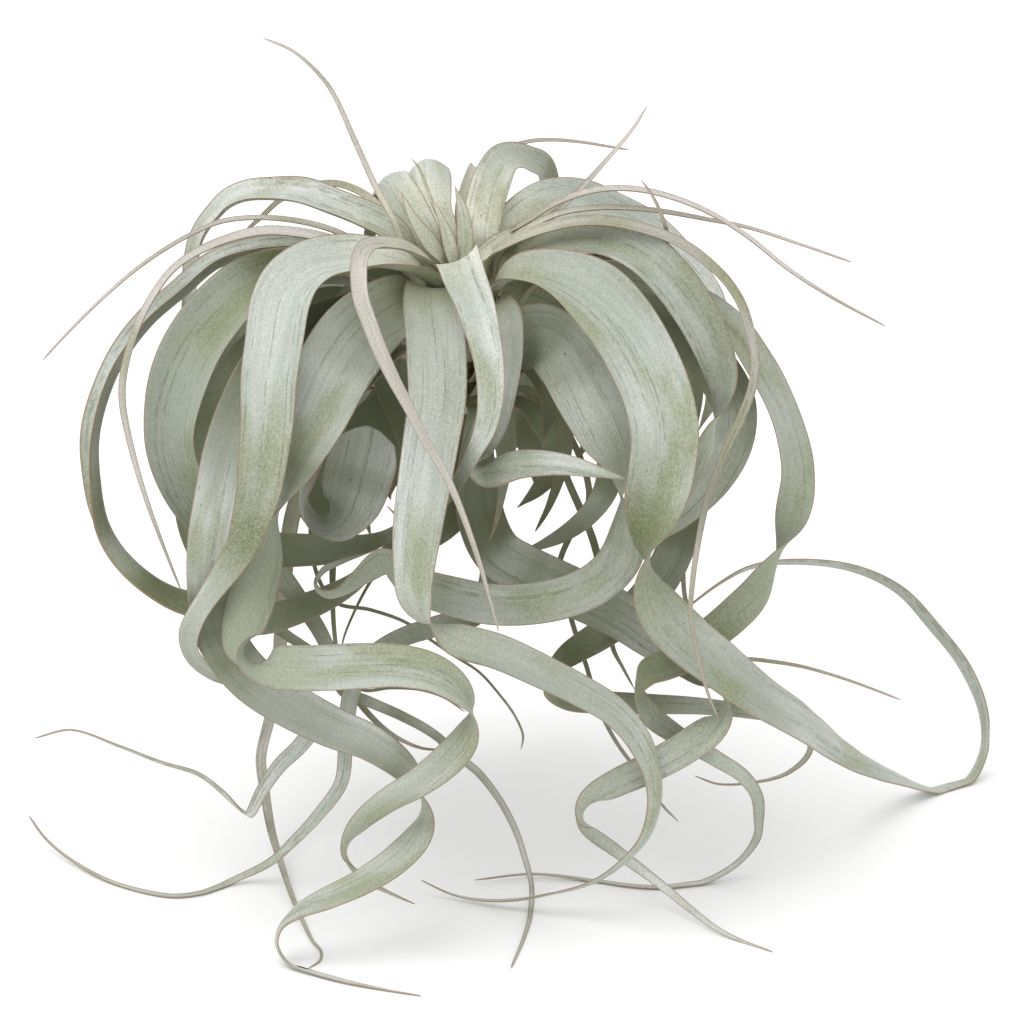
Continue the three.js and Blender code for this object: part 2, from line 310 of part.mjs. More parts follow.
    [-134, -143, -27, 0], [-128, -156, -26, 0]] },
  left_inner_dark: { root: -45, widths: [8, 16, 22, 22, 18, 10, 2], cups: [0.15, 0.1], route: [
    [-44, -30, -36], [-80, -42, -46, -20], [-102, -60, -54], [-112, -80, -56, 0], [-112, -98, -56],
    [-104, -112, -54, 0], [-92, -122, -52, 0]] },
  inner_left_curtain: { root: -74, widths: [6, 14, 26, 32, 32, 24, 2], cups: [0.15, 0.1], route: [
    [-28, -71, -9], [-35, -76, -13, 0], [-39, -86, -17], [-38, -99, -20, 0], [-35, -112, -22],
    [-32, -121, -24, 0]] },
  inner_right_curtain: { root: -81, widths: [6, 16, 28, 32, 28, 18, 2], cups: [0.15, 0.1], route: [
    [12, -76, -40], [23, -76, -54, 0], [33, -78, -65], [41, -84, -72, 0], [44, -95, -77],
    [43, -108, -77, 0], [40, -118, -76]] },
};

// The far side of the rosette: drooping blades by a rule. spread is the widest radius, drop the depth
// of the tip under the crown.
const BACK_BLADES = {
  back_droop_1: { root: -56, azimuth: 28, spread: 118, drop: 170, width: 22 },
  back_droop_2: { root: -58, azimuth: 52, spread: 124, drop: 132, width: 26 },
  back_droop_3: { root: -55, azimuth: 75, spread: 128, drop: 138, width: 28 },
  back_droop_4: { root: -52, azimuth: 98, spread: 132, drop: 172, width: 26 },
  back_droop_5: { root: -50, azimuth: 118, spread: 124, drop: 176, width: 28 },
  back_droop_6: { root: -54, azimuth: 138, spread: 128, drop: 168, width: 24 },
};

// ---- The viewer's terms --------------------------------------------------------------------------
const VIEWER = new THREE.Vector3()
  .addScaledVector(ACROSS, VIEW_CENTRE.across)
  .addScaledVector(UP, VIEW_CENTRE.up)
  .addScaledVector(TOWARD, VIEW_DISTANCE);

function floorDepth(up) {
  const risePerDepth = TOWARD.z + (VIEW_CENTRE.up - up) * UP.z / VIEW_DISTANCE;
  return (FLOOR_LIFT - CROWN_HEIGHT - up * UP.z) / risePerDepth;
}

function fromView([across, up, depth]) {
  const toward = depth === FLOOR ? floorDepth(up) : depth;
  const closer = toward / VIEW_DISTANCE;
  return new THREE.Vector3()
    .addScaledVector(ACROSS, across + (VIEW_CENTRE.across - across) * closer)
    .addScaledVector(UP, up + (VIEW_CENTRE.up - up) * closer)
    .addScaledVector(TOWARD, toward);
}

// The width direction of a blade that shows this roll to the viewer.
function widthSeenAt(point, tangent, roll) {
  const sight = VIEWER.clone().sub(point).normalize();
  const side = tangent.clone().cross(sight).normalize();
  const front = side.clone().cross(tangent);
  const angle = THREE.MathUtils.degToRad(roll);
  return side.multiplyScalar(Math.cos(angle)).addScaledVector(front, Math.sin(angle));
}

// ---- Curves through keys -------------------------------------------------------------------------
// keys: [[x, value], ...]. The curve passes through them without overshoot.
function smoothThrough(keys, x) {
  const last = keys.length - 1;
  if (x <= keys[0][0]) return keys[0][1];
  if (x >= keys[last][0]) return keys[last][1];
  const i = keys.findIndex((key) => key[0] > x) - 1;
  const [x0, y0] = keys[i];
  const [x1, y1] = keys[i + 1];
  const span = x1 - x0;
  const t = (x - x0) / span;
  const rise = y1 - y0;
  const leave = slopeAt(keys, i) * span;
  const arrive = slopeAt(keys, i + 1) * span;
  return y0 + t * (leave + t * (3 * rise - 2 * leave - arrive + t * (leave + arrive - 2 * rise)));
}

function slopeAt(keys, i) {
  if (i === 0 || i === keys.length - 1) return 0;
  const before = (keys[i][1] - keys[i - 1][1]) / (keys[i][0] - keys[i - 1][0]);
  const after = (keys[i + 1][1] - keys[i][1]) / (keys[i + 1][0] - keys[i][0]);
  return before * after <= 0 ? 0 : 2 * before * after / (before + after);
}

const evenKeys = (values) => values.map((value, i) => [i / (values.length - 1), value]);

// ---- Midribs -------------------------------------------------------------------------------------
function rootPoints(towardPoint, height) {
  const away = new THREE.Vector3(towardPoint.x, towardPoint.y, 0).normalize();
  return [0, ROOT_LEAD].map((lead) => away.clone()
    .multiplyScalar(STEM_RADIUS + ROOT_GAP + lead).setZ(height));
}

// Samples along the midrib: point, tangent, arc from the base, and a width direction carried from the
// base without turning about the midrib.
function sampleMidrib(points) {
  const curve = new THREE.CatmullRomCurve3(points, false, 'centripetal');
  const count = (points.length - 1) * SAMPLES_PER_ROW;
  const samples = [];
  for (let i = 0; i <= count; i++) {
    samples.push({ point: curve.getPoint(i / count), tangent: curve.getTangent(i / count) });
  }
  const first = samples[0];
  first.arc = 0;
  first.width = first.tangent.clone().cross(new THREE.Vector3(0, 0, 1)).normalize();
  const turn = new THREE.Quaternion();
  for (let i = 1; i <= count; i++) {
    const [before, here] = [samples[i - 1], samples[i]];
    turn.setFromUnitVectors(before.tangent, here.tangent);
    here.width = before.width.clone().applyQuaternion(turn);
    here.width.addScaledVector(here.tangent, -here.width.dot(here.tangent)).normalize();
    here.arc = before.arc + here.point.distanceTo(before.point);
  }
  return samples;
}

// Turns the carried width directions so that every row with a roll shows it to the viewer.
function rollSamples(samples, route, leadRows) {
  const keys = [[0, 0]];
  route.forEach((row, i) => {
    if (row.length < 4) return;
    const { point, tangent, width, arc } = samples[(i + leadRows) * SAMPLES_PER_ROW];
    const wanted = widthSeenAt(point, tangent, row[3]);
    const turn = Math.atan2(tangent.dot(width.clone().cross(wanted)), width.dot(wanted));
    const last = keys[keys.length - 1][1];
    const wholeTurns = Math.round((last - turn) / (2 * Math.PI));
    keys.push([arc, turn + 2 * Math.PI * wholeTurns]);
  });
  for (const sample of samples) {
    sample.roll = smoothThrough(keys, sample.arc);
    sample.width.applyAxisAngle(sample.tangent, sample.roll);
    sample.face = sample.width.clone().cross(sample.tangent);
  }
}

function shapeSamples(samples, { widths, cups }) {
  const length = samples[samples.length - 1].arc;
  const rootWidth = Math.min(ROOT_WIDTH, widths[0]);
  const widthKeys = evenKeys(widths);
  const cupKeys = evenKeys(cups);
  for (const sample of samples) {
    const along = sample.arc / length;
    const grown = THREE.MathUtils.smoothstep(sample.arc, 0, BASE_LENGTH);
    sample.across = THREE.MathUtils.lerp(rootWidth, smoothThrough(widthKeys, along), grown);
    sample.cup = smoothThrough(cupKeys, along) * grown * sample.across;
    sample.thickness = THREE.MathUtils.lerp(BLADE_THICKNESS, TIP_THICKNESS, along);
    const lowest = FLOOR_LIFT - CROWN_HEIGHT + sample.cup / 2;
    sample.point.z = Math.max(sample.point.z, lowest);
  }
}

// ---- Blade solids --------------------------------------------------------------------------------
// Rings lie closer together where the midrib bends or the blade turns.
function pickRings(samples) {
  const costs = [0];
  for (let i = 1; i < samples.length; i++) {
    const [before, here] = [samples[i - 1], samples[i]];
    const bend = THREE.MathUtils.radToDeg(before.tangent.angleTo(here.tangent));
    const twist = THREE.MathUtils.radToDeg(Math.abs(here.roll - before.roll));
    const cost = (here.arc - before.arc) / RING_SPACING + bend / RING_BEND + twist / RING_TWIST;
    costs.push(costs[i - 1] + cost);
  }
  const total = costs[costs.length - 1];
  const steps = Math.max(MIN_STEPS, Math.ceil(total));
  const rings = [];
  for (let step = 0; step <= steps; step++) {
    const goal = total * step / steps;
    rings.push(samples[costs.findIndex((cost) => cost >= goal - 1e-9)]);
  }
  return rings.filter((ring, i) => i === 0 || ring !== rings[i - 1]);
}

// Four corners: left margin, top of the midrib, right margin, underside of the midrib.
function ringCorners({ point, width, face, across, cup, thickness }) {
  const at = (aside, above) => point.clone()
    .addScaledVector(width, aside).addScaledVector(face, above);
  return [
    at(across / 2, cup / 2), at(0, (thickness - cup) / 2),
    at(-across / 2, cup / 2), at(0, (-thickness - cup) / 2),
  ];
}

function bladeGeometry(rings) {
  const corners = rings.flatMap(ringCorners);
  const faces = [[0, 1, 2], [0, 2, 3]];
  for (let ring = 0; ring < rings.length - 1; ring++) {
    const here = ring * 4;
    const next = here + 4;
    for (let j = 0; j < 4; j++) {
      const k = (j + 1) % 4;
      const [a, b, c, d] = [here + j, here + k, next + k, next + j];
      // Both faces of a blade are split the same way, so a waved blade keeps its thickness.
      if (j < 2) faces.push([a, d, b], [b, d, c]);
      else faces.push([a, d, c], [a, c, b]);
    }
  }
  const end = corners.length - 4;
  faces.push([end, end + 2, end + 1], [end, end + 3, end + 2]);
  const geometry = new THREE.BufferGeometry().setFromPoints(corners);
  geometry.setIndex(faces.flat());
  return geometry;
}

// ---- Solids --------------------------------------------------------------------------------------
function toSolid(geometry) {
  const mesh = new wasm.Mesh({
    numProp: 3,
    vertProperties: Float32Array.from(geometry.getAttribute('position').array),
    triVerts: Uint32Array.from(geometry.getIndex().array),
  });
  mesh.merge();
  return new wasm.Manifold(mesh);
}

function toGeometry(solid) {
  const { vertProperties, triVerts } = solid.getMesh();
  const geometry = new THREE.BufferGeometry();
  geometry.setAttribute('position', new THREE.BufferAttribute(Float32Array.from(vertProperties), 3));
  geometry.setIndex(new THREE.BufferAttribute(Uint32Array.from(triVerts), 1));
  return mergeVertices(geometry, 1e-3);
}

const belowSurface = wasm.Manifold.cube([TRIM_BLOCK, TRIM_BLOCK, TRIM_BLOCK], true)
  .translate([0, 0, -CROWN_HEIGHT - TRIM_BLOCK / 2]);

function trimAtSurface(geometry) {
  geometry.computeBoundingBox();
  if (geometry.boundingBox.min.z >= -CROWN_HEIGHT) return geometry;
  return toGeometry(toSolid(geometry).subtract(belowSurface));
}

function makeBlade(points, leaf, route) {
  const samples = sampleMidrib([...rootPoints(points[0], leaf.root), ...points]);
  rollSamples(samples, route, 2);
  shapeSamples(samples, leaf);
  return trimAtSurface(bladeGeometry(pickRings(samples)));
}

function makeBackBlade({ root, azimuth, spread, drop, width }) {
  const angle = THREE.MathUtils.degToRad(azimuth);
  const away = new THREE.Vector3(Math.cos(angle), Math.sin(angle), 0);
  const points = BACK_PROFILE.map(([out, down]) => away.clone()
    .multiplyScalar(out * spread).setZ(-down * drop));
  const widths = BACK_WIDTHS.map((share) => share * width);
  return makeBlade(points, { root, widths, cups: BACK_CUPS }, []);
}

function makeStem() {
  const profile = STEM_PROFILE.map(([share, height]) => [share * STEM_RADIUS, height]);
  return toGeometry(wasm.Manifold.revolve([profile], STEM_SIDES));
}

// ---- The part ------------------------------------------------------------------------------------
const BLADE_MATERIAL = new THREE.MeshStandardMaterial({ color: 0xa9b5ab, roughness: 0.75 });
const THREAD_MATERIAL = new THREE.MeshStandardMaterial({ color: 0xb9ada6, roughness: 0.75 });
const STEM_MATERIAL = new THREE.MeshStandardMaterial({ color: 0x8b8a6b, roughness: 0.85 });
BLADE_MATERIAL.name = 'leaf_silver_green';
THREAD_MATERIAL.name = 'leaf_pale_mauve';
STEM_MATERIAL.name = 'stem_olive';

const plant = new THREE.Group();
plant.name = 'air_plant';

function addPiece(name, geometry, material) {
  const piece = new THREE.Mesh(geometry, material);
  piece.name = name;
  plant.add(piece);
}

addPiece('stem', makeStem(), STEM_MATERIAL);
for (const [name, leaf] of Object.entries(LEAVES)) {
  const broadest = Math.max(...leaf.widths);
  const material = broadest < THREAD_LIMIT ? THREAD_MATERIAL : BLADE_MATERIAL;
  addPiece(name, makeBlade(leaf.route.map(fromView), leaf, leaf.route), material);
}
for (const [name, leaf] of Object.entries(BACK_BLADES)) {
  addPiece(name, makeBackBlade(leaf), BLADE_MATERIAL);
}

// The crown's own axis is the drawing's origin; the part's is under the middle of its box.
const box = new THREE.Box3().setFromObject(plant);
const middle = box.getCenter(new THREE.Vector3());
for (const piece of plant.children) {
  piece.geometry.translate(-middle.x, -middle.y, -box.min.z);
}

export default plant;
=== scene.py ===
"""The looks of a curly-leaved air plant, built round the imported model.

Each leaf is a fine mesh on the same route, widths and turns as its solid. The routes are the ones in
the part's source: millimetres from the crown, as a viewer in front sees the plant.
"""

import math
import zlib

import bpy
import numpy as np
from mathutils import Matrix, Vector
from mathutils.bvhtree import BVHTree


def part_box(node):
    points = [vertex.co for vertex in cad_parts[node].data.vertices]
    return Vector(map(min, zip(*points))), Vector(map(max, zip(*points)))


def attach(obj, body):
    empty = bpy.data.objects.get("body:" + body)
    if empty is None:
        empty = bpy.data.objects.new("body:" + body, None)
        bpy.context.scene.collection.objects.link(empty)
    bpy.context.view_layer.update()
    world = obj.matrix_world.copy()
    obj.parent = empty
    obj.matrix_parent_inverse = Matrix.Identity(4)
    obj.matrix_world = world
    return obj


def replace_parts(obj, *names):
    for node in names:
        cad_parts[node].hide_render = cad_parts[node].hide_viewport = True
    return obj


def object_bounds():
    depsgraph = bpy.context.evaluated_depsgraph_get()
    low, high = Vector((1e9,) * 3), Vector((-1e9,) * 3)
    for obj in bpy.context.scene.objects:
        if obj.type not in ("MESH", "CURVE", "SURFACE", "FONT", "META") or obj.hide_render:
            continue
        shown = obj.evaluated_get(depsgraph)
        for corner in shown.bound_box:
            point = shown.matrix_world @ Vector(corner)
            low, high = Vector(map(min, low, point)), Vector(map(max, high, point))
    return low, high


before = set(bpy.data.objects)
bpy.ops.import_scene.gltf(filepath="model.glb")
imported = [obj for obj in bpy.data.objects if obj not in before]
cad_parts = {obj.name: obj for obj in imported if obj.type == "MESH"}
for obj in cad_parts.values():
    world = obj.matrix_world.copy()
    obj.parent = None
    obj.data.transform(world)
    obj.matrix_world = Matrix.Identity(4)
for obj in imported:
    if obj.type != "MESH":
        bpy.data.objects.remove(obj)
CAD_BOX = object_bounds()
BOX_MARGIN = 0.0001              # metres that every piece stays inside that box
MM = 0.001
TINY = 1e-9

# ---- Sizes shared with the part's source, in millimetres from the crown -----------------------------
CROWN_HEIGHT = 315               # above the surface
STEM_RADIUS = 13
STEM_TOP, STEM_BOTTOM = -14, -84
ROOT_GAP = 0.35                  # between the stem and the base of each leaf
ROOT_LEAD = 3                    # a leaf sets off straight for this long, no wider than
ROOT_WIDTH = 6                   # this,
BASE_LENGTH = 45                 # and reaches its own width and channel this far on
BLADE_THICKNESS, TIP_THICKNESS = 1.5, 0.9
THREAD_LIMIT = 10                # a leaf that is narrower than this all along is a thread
VIEW_TILT = math.radians(18)     # how far down the viewer looks,
VIEW_DISTANCE = 1800             # from how far off,
VIEW_CENTRE = (28.5, -127)       # and at which place, across and up
ACROSS = np.array([1.0, 0.0, 0.0])
UP = np.array([0.0, math.sin(VIEW_TILT), math.cos(VIEW_TILT)])
TOWARD = np.array([0.0, -math.cos(VIEW_TILT), math.sin(VIEW_TILT)])
VIEWER = ACROSS * VIEW_CENTRE[0] + UP * VIEW_CENTRE[1] + TOWARD * VIEW_DISTANCE
FLOOR = None                     # stands for the depth at which a place lies on the surface
FLOOR_LIFT = 0.3
SAMPLES_PER_ROW = 12
LEAD_ROWS = 2                    # points of a midrib between the stem and the first row of its route

# ---- The fine blades --------------------------------------------------------------------------------
RIM_THICKNESS = 0.4              # of a blade at its margins
RING_SPACING = 4.0               # rings along a blade: one for each of these in mm,
RING_BEND = 4.5                  # bend in degrees
RING_TWIST = 6.0                 # and turn in degrees
POINTS_ACROSS = 9                # over a blade, and over a thread
THREAD_POINTS_ACROSS = 5
TIP_TAPER = 7.0                  # the last stretch narrows to a point over this length
TIP_LEAST = 0.02                 # the taper's square at the very tip, where the last ring keeps an area
TIP_THINNING = 0.55              # share of its thickness that the blade loses there
RIPPLE_HEIGHT = 0.35             # of the margins,
RIPPLE_START, RIPPLE_FULL = 4, 12  # from none to all of it between these half-widths
RIPPLE_LENGTH = 46.0             # from crest to crest,
SLOW_LENGTH = 38 * math.pi       # and of a slower wave,
SLOW_SHARE, SLOW_SHIFT = 0.6, 2.3  # with this share of the height, and this times the shift by leaf
PATTERN_SHIFT = 37.0             # of the colours, per unit of a leaf's seed

# ---- How the colours change over the plant ----------------------------------------------------------
TWIST_SPREAD = 26.0              # how far along a blade from its turns painted shade darkens it to olive,
TWIST_FULL = math.radians(85)    # and the turn within that stretch that darkens it most
AGE_YOUNG, AGE_OLD = 14, 84      # depths on the stem of the youngest and the oldest base
LOW_PAINTED_LIGHT = 0.6                 # share of its age taken away by painted light low down, where a leaf hangs in the light:
LOW_START, LOW_END = 170, 250    # from none of it to all of it between these depths below the crown
CROWN_FULL, CROWN_END = 32, 85   # cream within the first distance of the crown, none past the second
SHELTER_REACH = 0.2              # metres: leaves further away don't shelter a place
SHELTER_RAYS = 56
SHELTER_NONE, SHELTER_FULL = 0.12, 0.95  # blocked shares where painted shade starts to darken a leaf, and where it is darkest
SHELTER_OFFSET = 0.0015
SHELTER_FROM_ABOVE = 3.0         # how much more a leaf overhead counts than one at the side
SHELTER_LEAN = 0.1               # rays closer to the face than this cosine are left out
SHELTER_EASE = 2                 # rings on each side that the rates are averaged over
LEAF_TONES = {                   # how much older or younger a leaf looks than its place
    "left_inner_arch": 0.5, "left_under_blade": -0.4, "front_spear": -0.5,
    "right_shoulder_blade": -0.7, "left_front_blade": 0.3, "front_left_blade": 0.2,
    "right_front_blade": 0.15, "right_tail_ribbon": 0.3, "right_under_blade": -0.3,
    "low_left_tail": -0.5, "low_left_ribbon": -0.9, "left_foot_tail": -0.4,
    "front_inner_loop": -0.9, "right_front_tail": -0.5, "right_low_blade": -0.3,
    "left_shoulder_blade": -0.3, "back_middle_blade": -0.7, "back_left_blade": -0.7,
    "front_ribbon": -0.2,
}
SHADED_AND_WORN_PLACES = {                  # where painted shade, with some wear, darkens a leaf to olive: across, up, reach and strength
    "left_front_blade": [[-101, -140, 27, 1.0], [-96, -112, 20, 0.35]],
    "left_inner_arch": [[-84, -4, 27, 1.0], [-118, -34, 20, 0.3]],
    "left_outer_arch": [[-135, -170, 38, 0.9], [-178, -120, 24, 0.3]],
    "right_front_blade": [[93, -138, 24, 1.0], [106, -108, 20, 0.35]],
    "right_outer_arch": [[128, -190, 26, 0.9], [100, -204, 18, 0.7], [62, -282, 20, 0.3]],
    "front_centre_blade": [[6, -72, 26, 0.4]],
    "right_low_blade": [[60, -202, 30, 0.7]],
    "front_hook": [[84, -110, 14, 0.6]],
    "left_under_blade": [[-108, -203, 24, 0.4]],
}


# ---- The leaves -------------------------------------------------------------------------------------
def blade(root, widths, cups, route):
    """What shapes one leaf, in the viewer's terms.

    root: height of its base on the stem. widths and cups: blade width, and channel depth as a share
    of it, at even steps from base to tip. route rows: [across, up, toward] and, where the blade is
    seen to turn, its roll about the midrib in degrees: 0 shows the upper face to the viewer, 90 and
    -90 an edge, 180 the underside.
    """
    return {"root": root, "widths": widths, "cups": cups, "route": route}


